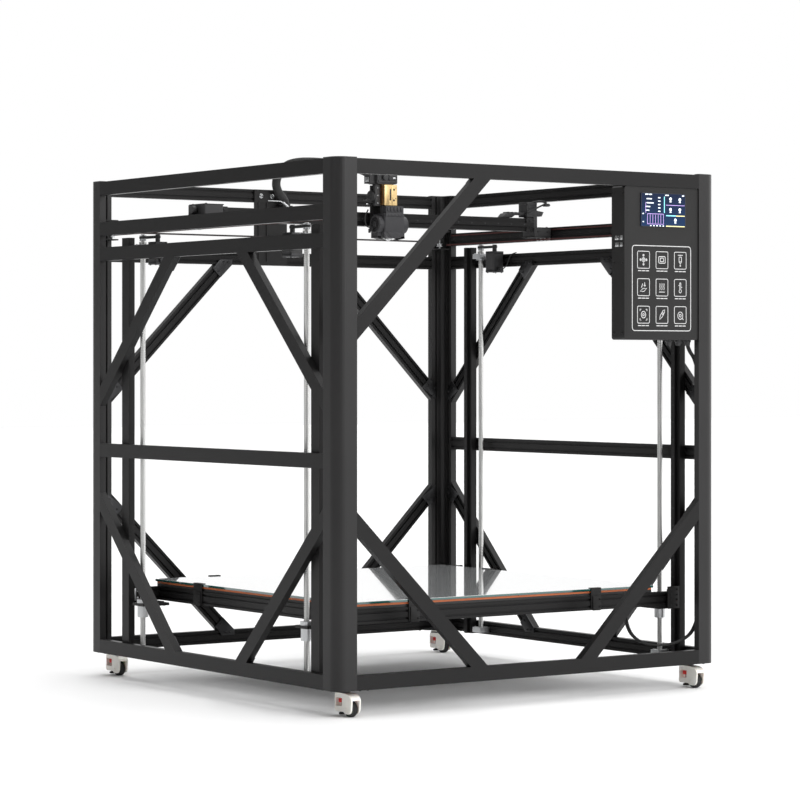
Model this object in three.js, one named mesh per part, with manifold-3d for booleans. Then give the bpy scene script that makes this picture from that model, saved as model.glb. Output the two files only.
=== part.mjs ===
// Large-format FDM printer. An open frame of 20 x 40 extrusion on L-shaped corner posts holds
// a glass bed on four lead screws and a belt-driven gantry with a single print head.
// Millimetres, +Z up. The origin is the centre of the footprint on the floor, the front faces -Y.
import * as THREE from 'three';
import { mergeVertices } from 'three/addons/utils/BufferGeometryUtils.js';
import Module from 'manifold-3d';

const wasm = await Module();
wasm.setup();

// Driving dimensions. Heights are above the frame's underside, which stands on the casters.
const FRAME_WIDTH = 1312;
const FRAME_DEPTH = 1331;
const FRAME_HEIGHT = 1400;
const CASTER_HEIGHT = 70;
const GAP = 0.3;
const BAR = { thick: 20, high: 40, slotWidth: 6, slotDepth: 5, slotPitch: 20 };
const POST = { arm: 65, outerRadius: 32 };
const BRACE = { lowFoot: 190, highFoot: 198, frontFoot: 181, root: 10 };
const LEVEL = { upperBeam: 1165, midBeam: 583, railBeam: 1240 };
const RAIL = { width: 12, height: 8 };
const GUIDE = { centreY: -25, spread: 508, height: 1230 };
const SCREW = {
  radius: 8, spread: 438, bottom: 8, top: 1238, bore: 9, pulleyRadius: 10, pulley: [1219, 1235],
};
const MOTOR = { size: 42, bottom: 1148, top: 1213, spread: 360, x: 612, pulleyRadius: 7 };
const BEARING = { width: 38, low: 8, high: 1192, thick: 16 };
const BED = {
  glass: { x: 525, yFront: -542, yRear: 498, top: 221, thick: 7 },
  heaterInset: 4,
  frameLow: 160,
  sideX: 516,
  crossHalf: 598,
};
const NUT = { plateLow: 151, inner: 545, outer: 634, halfWidth: 30, radius: 16, drop: 33 };
const CARRIAGE = { width: 30, low: 155, high: 205, thick: 9 };
const GANTRY = { y: 95, low: 1265, high: 1305, half: 562 };
const TRUCK = { low: 1249, high: 1310, halfDepth: 45, outerGap: 0.5 };
const TERMINAL = {
  x: [540, 578], halfDepth: 21, top: 1353,
  blockOuter: 576, blockHalfDepth: 25, slideHalfDepth: 31, seat: 1276,
};
const HEAD = { x: -9, halfWidth: 35, nozzleY: 28, nozzleTip: 1221, shroudTop: 1300, top: 1424 };
const BLOWER = { radius: 26, width: 15, y: 24, z: 1268 };
const COOLER = { x: -17, width: 46, depth: 22, front: 5, low: 1324, high: 1384 };
const DRIVE = { motorRadius: 18.5, motorEnd: -67, motorY: 38, motorZ: 1349, blockLow: 1386 };
const BOX = { left: 319, front: -662, rear: -605, low: 927, corner: 8 };
const DISPLAY = { left: 377, right: 541, low: 1247, high: 1343, thick: 3 };
const CASTER = {
  x: 596, frontY: -606, rearY: 626, wheelRadius: 21, wheelWidth: 19, wheelY: -37, footY: -2,
  halfWidth: 15.5, pocketHalf: 11, window: [27, 49],
};
const CLAMP = { x: 10, y: 620, low: 1334, top: 1351 };

const halfWidth = FRAME_WIDTH / 2;
const halfDepth = FRAME_DEPTH / 2;
const quarterTurn = Math.PI / 2;

// Finishes
const finish = (color, roughness, metalness) => ({ color, roughness, metalness });
const FINISH = {
  anodised: finish(0x2f2e2e, 0.45, 0.6),
  blackPlastic: finish(0x202022, 0.5, 0.0),
  blackSheet: finish(0x272727, 0.55, 0.3),
  steel: finish(0xb9bcbf, 0.3, 1.0),
  glass: finish(0xe9eef0, 0.08, 0.0),
  heater: finish(0xd96b3a, 0.55, 0.0),
  gold: finish(0xe0b868, 0.35, 0.9),
  brass: finish(0xc9a14a, 0.35, 1.0),
  screen: finish(0x1b3a66, 0.2, 0.0),
  cream: finish(0xefe8de, 0.5, 0.0),
  rubber: finish(0x1c1c1c, 0.8, 0.0),
  red: finish(0xc62828, 0.45, 0.0),
  sleeve: finish(0x1f1f20, 0.85, 0.0),
};

const printer = new THREE.Group();
const frame = new THREE.Group();
frame.position.z = CASTER_HEIGHT;
printer.add(frame);

function addPart(group, name, geometry, look) {
  const mesh = new THREE.Mesh(geometry, new THREE.MeshStandardMaterial(look));
  mesh.name = name;
  group.add(mesh);
  return mesh;
}

// Closed solids for the boolean library, and back to a buffer geometry.
function solid(geometry) {
  geometry.deleteAttribute('normal');
  geometry.deleteAttribute('uv');
  const merged = mergeVertices(geometry, 1e-4);
  return new wasm.Manifold(new wasm.Mesh({
    numProp: 3,
    vertProperties: merged.getAttribute('position').array,
    triVerts: new Uint32Array(merged.getIndex().array),
  }));
}

function surface(manifold) {
  const mesh = manifold.getMesh();
  const geometry = new THREE.BufferGeometry();
  geometry.setAttribute('position', new THREE.BufferAttribute(mesh.vertProperties, 3));
  geometry.setIndex(new THREE.BufferAttribute(mesh.triVerts, 1));
  geometry.computeVertexNormals();
  return geometry;
}

// A block between two corners.
function block(x, y, z) {
  const geometry = new THREE.BoxGeometry(x[1] - x[0], y[1] - y[0], z[1] - z[0]);
  return geometry.translate((x[0] + x[1]) / 2, (y[0] + y[1]) / 2, (z[0] + z[1]) / 2);
}

function extrude(points, depth) {
  const isShape = points instanceof THREE.Shape;
  const shape = isShape ? points : new THREE.Shape(points.map(([x, y]) => new THREE.Vector2(x, y)));
  return new THREE.ExtrudeGeometry(shape, { depth, bevelEnabled: false, steps: 1, curveSegments: 4 });
}

// A section drawn as (depth inward, height), run along X and centred on it.
function alongX(section, length) {
  const turn = new THREE.Matrix4().makeBasis(
    new THREE.Vector3(0, 1, 0),
    new THREE.Vector3(0, 0, 1),
    new THREE.Vector3(1, 0, 0),
  );
  return extrude(section, length).applyMatrix4(turn).translate(-length / 2, 0, 0);
}

// An outline drawn as (x, z), made solid from yFront to yRear.
function slab(outline, yFront, yRear) {
  return extrude(outline, yRear - yFront).rotateX(quarterTurn).translate(0, yRear, 0);
}

function upright(radius, bottom, top, x, y, sides = 14) {
  const geometry = new THREE.CylinderGeometry(radius, radius, top - bottom, sides);
  return geometry.rotateX(quarterTurn).translate(x, y, (bottom + top) / 2);
}

function roundedRectangle(left, right, low, high, radius) {
  const shape = new THREE.Shape();
  shape.moveTo(left + radius, low);
  shape.lineTo(right - radius, low);
  shape.absarc(right - radius, low + radius, radius, -quarterTurn, 0);
  shape.absarc(right - radius, high - radius, radius, 0, quarterTurn);
  shape.absarc(left + radius, high - radius, radius, quarterTurn, 2 * quarterTurn);
  shape.absarc(left + radius, low + radius, radius, 2 * quarterTurn, 3 * quarterTurn);
  return shape;
}

// 20 x 40 bar section: flat outer face at depth 0, two T-slot mouths on the inner face.
function barSection(low) {
  const half = BAR.slotWidth / 2;
  const inner = BAR.thick - BAR.slotDepth;
  const points = [[0, low], [BAR.thick, low]];
  for (const centre of [low + BAR.slotPitch / 2, low + 3 * BAR.slotPitch / 2]) {
    points.push([BAR.thick, centre - half], [inner, centre - half]);
    points.push([inner, centre + half], [BAR.thick, centre + half]);
  }
  points.push([BAR.thick, low + BAR.high], [0, low + BAR.high]);
  return points;
}

// Each side of the frame is drawn as if it were the front and then turned into place.
const SIDES = {
  front: { turn: 0, plane: halfDepth, span: halfWidth - POST.arm - GAP },
  right: { turn: quarterTurn, plane: halfWidth, span: halfDepth - POST.arm - GAP },
  rear: { turn: 2 * quarterTurn, plane: halfDepth, span: halfWidth - POST.arm - GAP },
  left: { turn: 3 * quarterTurn, plane: halfWidth, span: halfDepth - POST.arm - GAP },
};

function onSide(geometry, side) {
  return geometry.translate(0, -side.plane, 0).rotateZ(side.turn);
}

function bar(side, low) {
  return alongX(barSection(low), 2 * side.span);
}

// A 45 degree brace from its foot on a beam's face to the end of a post's arm. upward is +1 or -1.
function brace(foot, face, upward, hand, span) {
  const strip = (middle, width, start, yFront, yRear) => {
    const wide = (width / 2) * Math.SQRT2;
    const near = foot + middle * Math.SQRT2 + upward * (start - face);
    const heightAt = (edge) => start + upward * (span - edge);
    const outline = [
      [near - wide, start],
      [near + wide, start],
      [span, heightAt(near + wide)],
      [span, heightAt(near - wide)],
    ];
    return solid(slab(outline.map(([x, z]) => [hand * x, z]), yFront, yRear));
  };
  let body = strip(0, BAR.high, face - upward * BRACE.root, 0, BAR.thick);
  for (const middle of [-BAR.slotPitch / 2, BAR.slotPitch / 2]) {
    body = body.subtract(strip(middle, BAR.slotWidth, face, BAR.thick - BAR.slotDepth, BAR.thick + 1));
  }
  return body;
}

function bracedBar(side, low, foot, upward, hands) {
  const face = upward > 0 ? low + BAR.high : low;
  return hands.reduce(
    (body, hand) => body.add(brace(foot, face, upward, hand, side.span)),
    solid(bar(side, low)),
  );
}

function bearing(hand, y, low) {
  const outer = halfWidth - BAR.thick - GAP;
  const half = BEARING.width / 2;
  const x = [outer - BEARING.width, outer].map((value) => hand * value).sort((a, b) => a - b);
  return solid(block(x, [y - half, y + half], [low, low + BEARING.thick]));
}

const SCREW_X = halfWidth - BAR.thick - GAP - BEARING.width / 2;
const CORNERS = [
  { name: 'front_left', hand: -1, end: -1 },
  { name: 'front_right', hand: 1, end: -1 },
  { name: 'rear_left', hand: -1, end: 1 },
  { name: 'rear_right', hand: 1, end: 1 },
];

function screwBore(hand, y, low, high) {
  return solid(upright(SCREW.bore, low, high, hand * SCREW_X, y));
}

// ---- Frame ----
function cornerPost() {
  const inner = POST.outerRadius - BAR.thick;
  const slot = 48;
  const half = BAR.slotWidth / 2;
  const floor = BAR.thick - BAR.slotDepth;
  const shape = new THREE.Shape();
  shape.moveTo(POST.outerRadius, 0);
  shape.lineTo(POST.arm, 0);
  shape.lineTo(POST.arm, BAR.thick);
  shape.lineTo(slot + half, BAR.thick);
  shape.lineTo(slot + half, floor);
  shape.lineTo(slot - half, floor);
  shape.lineTo(slot - half, BAR.thick);
  shape.lineTo(POST.outerRadius, BAR.thick);
  shape.absarc(POST.outerRadius, POST.outerRadius, inner, 3 * quarterTurn, 2 * quarterTurn, true);
  shape.lineTo(BAR.thick, slot - half);
  shape.lineTo(floor, slot - half);
  shape.lineTo(floor, slot + half);
  shape.lineTo(BAR.thick, slot + half);
  shape.lineTo(BAR.thick, POST.arm);
  shape.lineTo(0, POST.arm);
  shape.lineTo(0, POST.outerRadius);
  shape.absarc(POST.outerRadius, POST.outerRadius, POST.outerRadius, 2 * quarterTurn, 3 * quarterTurn);
  return extrude(shape, FRAME_HEIGHT);
}

function addPosts() {
  const turns = { front_left: 0, front_right: 1, rear_right: 2, rear_left: 3 };
  for (const corner of CORNERS) {
    const post = cornerPost().rotateZ(turns[corner.name] * quarterTurn);
    post.translate(corner.hand * halfWidth, corner.end * halfDepth, 0);
    addPart(frame, `corner_post_${corner.name}`, post, FINISH.anodised);
  }
}

function addBeams() {
  const top = FRAME_HEIGHT - BAR.high;
  for (const [name, side] of Object.entries(SIDES)) {
    const flank = name === 'left' || name === 'right';
    const topBar = name === 'front'
      ? surface(bracedBar(side, top, BRACE.frontFoot, -1, [-1]))
      : bar(side, top);
    addPart(frame, `top_beam_${name}`, onSide(topBar, side), FINISH.anodised);

    let base = solid(onSide(surface(bracedBar(side, 0, BRACE.lowFoot, 1, [-1, 1])), side));
    if (flank) {
      const hand = name === 'left' ? -1 : 1;
      for (const end of [-1, 1]) {
        const y = GUIDE.centreY + end * SCREW.spread;
        const reach = block(
          [hand * (SCREW_X + SCREW.bore + 2), hand * (halfWidth - BAR.thick / 2)].sort((a, b) => a - b),
          [y - BEARING.width / 2, y + BEARING.width / 2],
          [BEARING.low, BEARING.low + BEARING.thick],
        );
        base = base.add(bearing(hand, y, BEARING.low)).add(solid(reach));
        base = base.subtract(screwBore(hand, y, 0, BEARING.low + BEARING.thick + 1));
      }
    }
    addPart(frame, `base_beam_${name}`, surface(base), FINISH.anodised);

    if (name !== 'front') {
      const upper = surface(bracedBar(side, LEVEL.upperBeam, BRACE.highFoot, -1, [-1, 1]));
      addPart(frame, `upper_beam_${name}`, onSide(upper, side), FINISH.anodised);
    }
    if (flank) {
      addPart(frame, `mid_beam_${name}`, onSide(bar(side, LEVEL.midBeam), side), FINISH.anodised);
      addPart(frame, `y_rail_${name}`, onSide(railBar(side.span), side), FINISH.anodised);
    }
  }
}

// A bar with a linear rail screwed along its inner face.
function railSection(low) {
  const centre = low + BAR.high / 2;
  const half = RAIL.width / 2;
  const crest = BAR.thick + RAIL.height;
  return [
    [0, low], [BAR.thick, low],
    [BAR.thick, centre - half], [crest, centre - half],
    [crest, centre + half], [BAR.thick, centre + half],
    [BAR.thick, low + BAR.high], [0, low + BAR.high],
  ];
}

function railBar(span) {
  return alongX(railSection(LEVEL.railBeam), 2 * span);
}

function addGuides() {
  for (const { name, hand, end } of CORNERS) {
    const inward = -hand;
    const section = railSection(-BAR.high / 2).map(([depth, across]) => [inward * depth, across]);
    const guide = extrude(section, GUIDE.height);
    const y = GUIDE.centreY + end * GUIDE.spread;
    guide.translate(hand * (halfWidth - BAR.thick - GAP), y, 0);
    addPart(frame, `z_guide_${name}`, guide, FINISH.anodised);
  }
}

// ---- Lift drive ----
function leadScrew() {
  const collar = SCREW.radius + 3;
  const highBearing = BEARING.high + BEARING.thick;
  const journal = SCREW.radius - 2;
  const [pulleyLow, pulleyHigh] = SCREW.pulley;
  const profile = [
    [0, SCREW.bottom], [SCREW.radius, SCREW.bottom], [SCREW.radius, highBearing + 1],
    [collar, highBearing + 1], [collar, highBearing + 8], [journal, highBearing + 8],
    [journal, pulleyLow], [SCREW.pulleyRadius, pulleyLow], [SCREW.pulleyRadius, pulleyHigh],
    [journal, pulleyHigh], [journal, SCREW.top], [0, SCREW.top],
  ];
  const points = profile.map(([radius, height]) => new THREE.Vector2(radius, height));
  return new THREE.LatheGeometry(points, 14).rotateX(quarterTurn);
}

function zMotor(hand, end) {
  const y = GUIDE.centreY + end * MOTOR.spread;
  const screwY = GUIDE.centreY + end * SCREW.spread;
  const half = MOTOR.size / 2;
  const centre = hand * MOTOR.x;
  const outline = roundedRectangle(centre - half, centre + half, y - half, y + half, 5);
  const can = extrude(outline, MOTOR.top - MOTOR.bottom);
  const web = block(
    [hand * (halfWidth - BAR.thick - GAP - 14), hand * (halfWidth - BAR.thick - GAP)].sort((a, b) => a - b),
    [y, screwY].sort((a, b) => a - b),
    [BEARING.high + 2, BEARING.high + 10],
  );
  const pulley = upright(MOTOR.pulleyRadius, MOTOR.top - 1, SCREW.pulley[1], centre, y);
  return solid(can.translate(0, 0, MOTOR.bottom))
    .add(solid(web))
    .add(bearing(hand, screwY, BEARING.high))
    .add(solid(pulley))
    .subtract(screwBore(hand, screwY, BEARING.high - 1, BEARING.high + BEARING.thick + 1));
}

function addLiftDrive() {
  for (const { name, hand, end } of CORNERS) {
    const screw = leadScrew().translate(hand * SCREW_X, GUIDE.centreY + end * SCREW.spread, 0);
    addPart(frame, `lead_screw_${name}`, screw, FINISH.steel);
    addPart(frame, `z_motor_${name}`, surface(zMotor(hand, end)), FINISH.blackPlastic);
  }
}

// ---- Bed ----
// 20 x 40 bar section with two T-slot mouths on both faces, centred in depth.
function doubleSection(low) {
  const half = BAR.thick / 2;
  const mouth = BAR.slotWidth / 2;
  const centres = [low + BAR.slotPitch / 2, low + 3 * BAR.slotPitch / 2];
  const face = (sign, order) => order.flatMap((centre) => [
    [sign * half, centre - sign * mouth],
    [sign * (half - BAR.slotDepth), centre - sign * mouth],
    [sign * (half - BAR.slotDepth), centre + sign * mouth],
    [sign * half, centre + sign * mouth],
  ]);
  return [
    [-half, low], [half, low], ...face(1, centres),
    [half, low + BAR.high], [-half, low + BAR.high], ...face(-1, [...centres].reverse()),
  ];
}

function bedFrame() {
  const low = BED.frameLow;
  const high = low + BAR.high;
  const pair = (hand, near, far) => [hand * near, hand * far].sort((a, b) => a - b);
  const rows = [-1, 1].map((end) => GUIDE.centreY + end * GUIDE.spread);
  let body = null;
  const join = (geometry) => {
    body = body ? body.add(solid(geometry)) : solid(geometry);
  };
  for (const y of rows) {
    join(alongX(doubleSection(low), 2 * BED.crossHalf).translate(0, y, 0));
  }
  for (const hand of [-1, 1]) {
    const side = alongX(doubleSection(low), rows[1] - rows[0] - BAR.thick + 1).rotateZ(quarterTurn);
    join(side.translate(hand * BED.sideX, GUIDE.centreY, 0));
    for (const [index, end] of [-1, 1].entries()) {
      const carriage = CARRIAGE.width / 2;
      const screwY = GUIDE.centreY + end * SCREW.spread;
      const x = pair(hand, BED.crossHalf - 2, BED.crossHalf + CARRIAGE.thick);
      join(block(x, [rows[index] - carriage, rows[index] + carriage], [CARRIAGE.low, CARRIAGE.high]));
      join(block(
        pair(hand, NUT.inner, NUT.outer),
        [screwY - NUT.halfWidth, screwY + NUT.halfWidth],
        [NUT.plateLow, low - 1],
      ));
      join(block(
        pair(hand, NUT.inner, BED.crossHalf),
        [screwY, rows[index] + end * BAR.thick / 2].sort((a, b) => a - b),
        [NUT.plateLow, low + 1],
      ));
      join(upright(NUT.radius, NUT.plateLow - NUT.drop, NUT.plateLow + 1, hand * SCREW_X, screwY));
      join(upright(NUT.radius + 2, low - 2, low + 10, hand * SCREW_X, screwY));
      body = body.subtract(screwBore(hand, screwY, NUT.plateLow - NUT.drop - 1, low + 11));
    }
  }
  return surface(body);
}

function addBed() {
  const { x, yFront, yRear, top, thick } = BED.glass;
  const under = top - thick - GAP;
  const inset = BED.heaterInset;
  addPart(frame, 'bed_glass', block([-x, x], [yFront, yRear], [top - thick, top]), FINISH.glass);
  addPart(frame, 'bed_heater', block(
    [-x + inset, x - inset],
    [yFront + inset, yRear - inset],
    [BED.frameLow + BAR.high + GAP, under],
  ), FINISH.heater);
  addPart(frame, 'bed_frame', bedFrame(), FINISH.anodised);
}

// ---- Gantry and print head ----
function addGantry() {
  const depth = GANTRY.high - GANTRY.low;
  const centre = depth / 2;
  const half = RAIL.width / 2;
  const section = [
    [0, 0], [depth, 0], [depth, 7], [depth - 5, 7], [depth - 5, 13], [depth, 13],
    [depth, 27], [depth - 5, 27], [depth - 5, 33], [depth, 33], [depth, depth], [0, depth],
    [0, centre + half], [-RAIL.height, centre + half], [-RAIL.height, centre - half], [0, centre - half],
  ];
  const beam = alongX(section, 2 * (GANTRY.half - GAP)).translate(0, GANTRY.y - centre, GANTRY.low);
  addPart(frame, 'x_beam', beam, FINISH.anodised);

  const outer = halfWidth - BAR.thick - RAIL.height - TRUCK.outerGap;
  const front = GANTRY.y - TRUCK.halfDepth;
  const rear = GANTRY.y + TRUCK.halfDepth;
  const span = (hand) => [hand * GANTRY.half, hand * outer].sort((a, b) => a - b);
  const outline = (hand) => roundedRectangle(...span(hand), front, rear, 6);
  const truck = (hand) => extrude(outline(hand), TRUCK.high - TRUCK.low).translate(0, 0, TRUCK.low);
  addPart(frame, 'truck_left', truck(-1), FINISH.blackPlastic);
  addPart(frame, 'truck_right', terminalTruck(outer), FINISH.blackPlastic);
}

// Right-hand truck: a low slide on the rail, a block at the beam's end and the terminal box on it.
function terminalTruck(outer) {
  const { x, halfDepth: half, top, blockOuter, blockHalfDepth, slideHalfDepth, seat } = TERMINAL;
  const about = (depth) => [GANTRY.y - depth, GANTRY.y + depth];
  const slide = roundedRectangle(GANTRY.half, outer, ...about(slideHalfDepth), 6);
  return surface(solid(extrude(slide, seat - TRUCK.low).translate(0, 0, TRUCK.low))
    .add(solid(block([GANTRY.half, blockOuter], about(blockHalfDepth), [seat - 1, TRUCK.high])))
    .add(solid(block(x, about(half), [TRUCK.high - 1, top]))));
}

function fanShroud() {
  const { x, halfWidth: half, nozzleTip, shroudTop } = HEAD;
  const low = nozzleTip + 7;
  const front = HEAD.nozzleY - 30;
  const rear = HEAD.nozzleY + 29;
  const outline = new THREE.Shape();
  outline.moveTo(x - half, low + 14);
  outline.quadraticCurveTo(x - half + 6, low + 2, x - 16, low);
  outline.lineTo(x + 16, low);
  outline.quadraticCurveTo(x + half - 6, low + 2, x + half, low + 14);
  outline.lineTo(x + half, shroudTop - 5);
  outline.quadraticCurveTo(x + half, shroudTop, x + half - 5, shroudTop);
  outline.lineTo(x - half + 3, shroudTop);
  outline.quadraticCurveTo(x - half, shroudTop, x - half, shroudTop - 3);
  const tab = roundedRectangle(x - 29, x + 34, shroudTop - 10, COOLER.low - 2, 3);
  let body = solid(slab(outline, front, rear)).add(solid(slab(tab, front + 1, front + 30)));
  for (const hand of [-1, 1]) {
    const blower = new THREE.CylinderGeometry(BLOWER.radius, BLOWER.radius, BLOWER.width + 1, 28);
    const at = x + hand * (half + BLOWER.width / 2 - 0.5);
    body = body.add(solid(blower.rotateZ(quarterTurn).translate(at, BLOWER.y, BLOWER.z)));
    const duct = block(
      [x + hand * (half - 1), x + hand * (half + BLOWER.width - 2)].sort((a, b) => a - b),
      [BLOWER.y - 10, BLOWER.y + 24],
      [low, BLOWER.z],
    );
    body = body.add(solid(duct));
  }
  return body;
}

// Gold cooling block: layered plates with side grooves and a slot down its front.
function heatSink() {
  const half = COOLER.width / 2;
  const groove = 7;
  const depths = [0, 8, 8, 11, 11, 15, 15, 18, 18, COOLER.depth];
  const reach = (index) => (Math.floor((index + 1) / 2) % 2 === 0 ? half : half - groove);
  const right = depths.map((depth, index) => [reach(index - 1), depth]);
  const left = right.map(([x, depth]) => [-x, depth]).reverse();
  const body = extrude([...right, ...left], COOLER.high - COOLER.low);
  body.translate(COOLER.x, COOLER.front, COOLER.low);
  const slot = block(
    [COOLER.x - 3, COOLER.x + 1],
    [COOLER.front - 1, COOLER.front + 5],
    [COOLER.low + 14, COOLER.high - 12],
  );
  return surface(solid(body).subtract(solid(slot)));
}

function extruder() {
  const front = COOLER.front + COOLER.depth + GAP;
  const rear = HEAD.nozzleY + 29;
  const { motorRadius, motorEnd, motorY, motorZ, blockLow } = DRIVE;
  const bodyLeft = -46;
  const motorLength = bodyLeft + 1 - motorEnd;
  const motor = new THREE.CylinderGeometry(motorRadius, motorRadius, motorLength, 24).rotateZ(quarterTurn);
  return solid(block([bodyLeft, 8], [front, rear], [COOLER.low, blockLow + 1]))
    .add(solid(slab(roundedRectangle(-62, 9, blockLow, HEAD.top, 6), 8, rear)))
    .add(solid(block([-80, -61], [20, 50], [blockLow + 1, HEAD.top - 10])))
    .add(solid(motor.translate(motorEnd + motorLength / 2, motorY, motorZ)));
}

function addHead() {
  const railFace = GANTRY.y - (GANTRY.high - GANTRY.low) / 2 - RAIL.height;
  const plateRear = railFace - 0.6;
  const shroudRear = HEAD.nozzleY + 29;
  const span = [HEAD.x - 40, HEAD.x + 40];
  const plate = solid(block(span, [shroudRear + GAP, plateRear], [1258, 1384]))
    .add(solid(block([HEAD.x - 34, HEAD.x + 34], [shroudRear + GAP, GANTRY.y + 20], [1344, 1352])));
  addPart(frame, 'head_carriage', surface(plate), FINISH.blackSheet);
  addPart(frame, 'fan_shroud', surface(fanShroud()), FINISH.blackPlastic);
  addPart(frame, 'heat_sink', heatSink(), FINISH.gold);
  addPart(frame, 'extruder', surface(extruder()), FINISH.blackPlastic);
  const tip = HEAD.nozzleTip;
  const profile = [[0, tip], [1.5, tip], [6, tip + 4], [9, tip + 4], [9, tip + 6.7], [0, tip + 6.7]];
  const points = profile.map(([radius, height]) => new THREE.Vector2(radius, height));
  const nozzle = new THREE.LatheGeometry(points, 12).rotateX(quarterTurn);
  nozzle.translate(HEAD.x, HEAD.nozzleY, 0);
  addPart(frame, 'nozzle', nozzle, FINISH.brass);
}

// ---- Electronics ----
function addElectronics() {
  const right = halfWidth - POST.arm - GAP;
  const top = FRAME_HEIGHT - BAR.high - GAP;
  const shell = slab(roundedRectangle(BOX.left, right, BOX.low, top, BOX.corner), BOX.front, BOX.rear);
  addPart(frame, 'control_box', shell, FINISH.blackSheet);
  const rear = BOX.front - GAP;
  const panel = roundedRectangle(DISPLAY.left, DISPLAY.right, DISPLAY.low, DISPLAY.high, 4);
  addPart(frame, 'display', slab(panel, rear - DISPLAY.thick, rear), FINISH.screen);
}

function addRearPlate() {
  const face = halfDepth - BAR.thick - GAP;
  const plate = block([-88, 31], [face - 5, face], [LEVEL.upperBeam, FRAME_HEIGHT]);
  const clamp = block([CLAMP.x - 18, CLAMP.x + 18], [CLAMP.y - 18, face - 4], [CLAMP.low, CLAMP.top]);
  addPart(frame, 'rear_plate', surface(solid(plate).add(solid(clamp))), FINISH.blackSheet);
}

// ---- Cables: round tubes along hand-set routes ----
function cable(route, radius, sides, steps) {
  const path = new THREE.CatmullRomCurve3(route.map((point) => new THREE.Vector3(...point)));
  const section = new THREE.Shape();
  for (let side = 0; side < sides; side += 1) {
    const angle = (2 * Math.PI * side) / sides;
    const point = [radius * Math.cos(angle), radius * Math.sin(angle)];
    if (side === 0) {
      section.moveTo(...point);
    } else {
      section.lineTo(...point);
    }
  }
  return new THREE.ExtrudeGeometry(section, { steps, bevelEnabled: false, extrudePath: path });
}

const HARNESS_ROUTE = [
  [10, 620, 1351.8], [10, 620, 1358], [8, 620, 1367], [-2, 621, 1380], [-14, 622, 1396], [-21, 621, 1415],
  [-22, 615, 1435], [-19, 600, 1456], [-14, 565, 1474], [-8, 520, 1480], [-2, 455, 1478], [0, 380, 1471],
  [0, 300, 1461], [-5, 220, 1448], [-10, 150, 1432], [-13, 105, 1415], [-14, 80, 1407], [-14, 66, 1405],
  [-14, 57.4, 1405],
];
const BED_CABLE_ROUTE = [
  [430, -533, 159.6], [430, -533, 140], [433, -536, 110], [446, -545, 80], [475, -562, 58],
  [520, -584, 52], [565, -602, 60], [600, -618, 84], [620, -626, 130], [626, -628, 190],
  [626, -628, 300], [626, -628, 450], [626, -628, 600], [626, -628, 740], [622, -629, 820],
  [605, -631, 870], [585, -633, 895], [576, -634, 912], [575, -634, 926],
];

function addCables() {
  addPart(frame, 'head_harness', cable(HARNESS_ROUTE, 13.5, 10, 24), FINISH.sleeve);
  addPart(frame, 'bed_cable', cable(BED_CABLE_ROUTE, 6, 8, 44), FINISH.rubber);
}

// ---- Levelling casters ----
// Each one trails towards the front: a skirted wheel ahead of the swivel stem and the pad under it.
function casterHousing() {
  const { footY, halfWidth: half, pocketHalf: pocketX, window: windowSpan } = CASTER;
  const outline = new THREE.Shape();
  outline.moveTo(16, 18);
  outline.lineTo(16, 54);
  outline.absarc(8, 54, 8, 0, quarterTurn);
  outline.lineTo(-32, 62);
  outline.quadraticCurveTo(-58, 60, -62, 44);
  outline.lineTo(-60, 20);
  outline.quadraticCurveTo(-57, 9, -46, 8);
  outline.lineTo(-36, 8);
  outline.quadraticCurveTo(-30, 8, -25, 13);
  outline.lineTo(11, 13);
  const body = extrude(outline, 2 * half).rotateY(quarterTurn).rotateX(quarterTurn).translate(-half, 0, 0);
  const pocket = block([-pocketX, pocketX], [-70, -15.3], [0, 44.5]);
  const opening = block([-half - 1, half + 1], [-18, 12], windowSpan);
  const stem = upright(17, 61, CASTER_HEIGHT - GAP, 0, 0, 20);
  const socket = upright(7.5, 0, 56, 0, footY, 12);
  return solid(body)
    .subtract(solid(pocket))
    .subtract(solid(opening))
    .add(solid(stem))
    .subtract(solid(socket));
}

function casterWheel() {
  const { wheelRadius: radius, wheelWidth, wheelY } = CASTER;
  const half = wheelWidth / 2;
  const profile = [[0, -half], [radius - 2, -half], [radius, -half + 2]];
  const mirrored = profile.map(([r, h]) => [r, -h]).reverse();
  const points = [...profile, ...mirrored].map(([r, h]) => new THREE.Vector2(r, h));
  return new THREE.LatheGeometry(points, 24).rotateZ(quarterTurn).translate(0, wheelY, radius);
}

function casterFoot() {
  const profile = [
    [0, 4], [12, 4], [12, 8.5], [6, 11], [6, 36], [12.5, 36], [12.5, 46.5], [6, 46.5], [6, 52], [0, 52],
  ];
  const points = profile.map(([radius, height]) => new THREE.Vector2(radius, height));
  return new THREE.LatheGeometry(points, 14).rotateX(quarterTurn).translate(0, CASTER.footY, 0);
}

function addCasters() {
  for (const { name, hand, end } of CORNERS) {
    const caster = new THREE.Group();
    caster.position.set(hand * CASTER.x, end < 0 ? CASTER.frontY : CASTER.rearY, 0);
    printer.add(caster);
    addPart(caster, `caster_housing_${name}`, surface(casterHousing()), FINISH.cream);
    addPart(caster, `caster_wheel_${name}`, casterWheel(), FINISH.rubber);
    addPart(caster, `caster_foot_${name}`, casterFoot(), FINISH.red);
  }
}

addPosts();
addBeams();
addGuides();
addLiftDrive();
addBed();
addGantry();
addHead();
addElectronics();
addRearPlate();
addCables();
addCasters();

export default printer;
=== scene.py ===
import math

import bmesh
import bpy
from mathutils import Matrix, Vector


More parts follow.
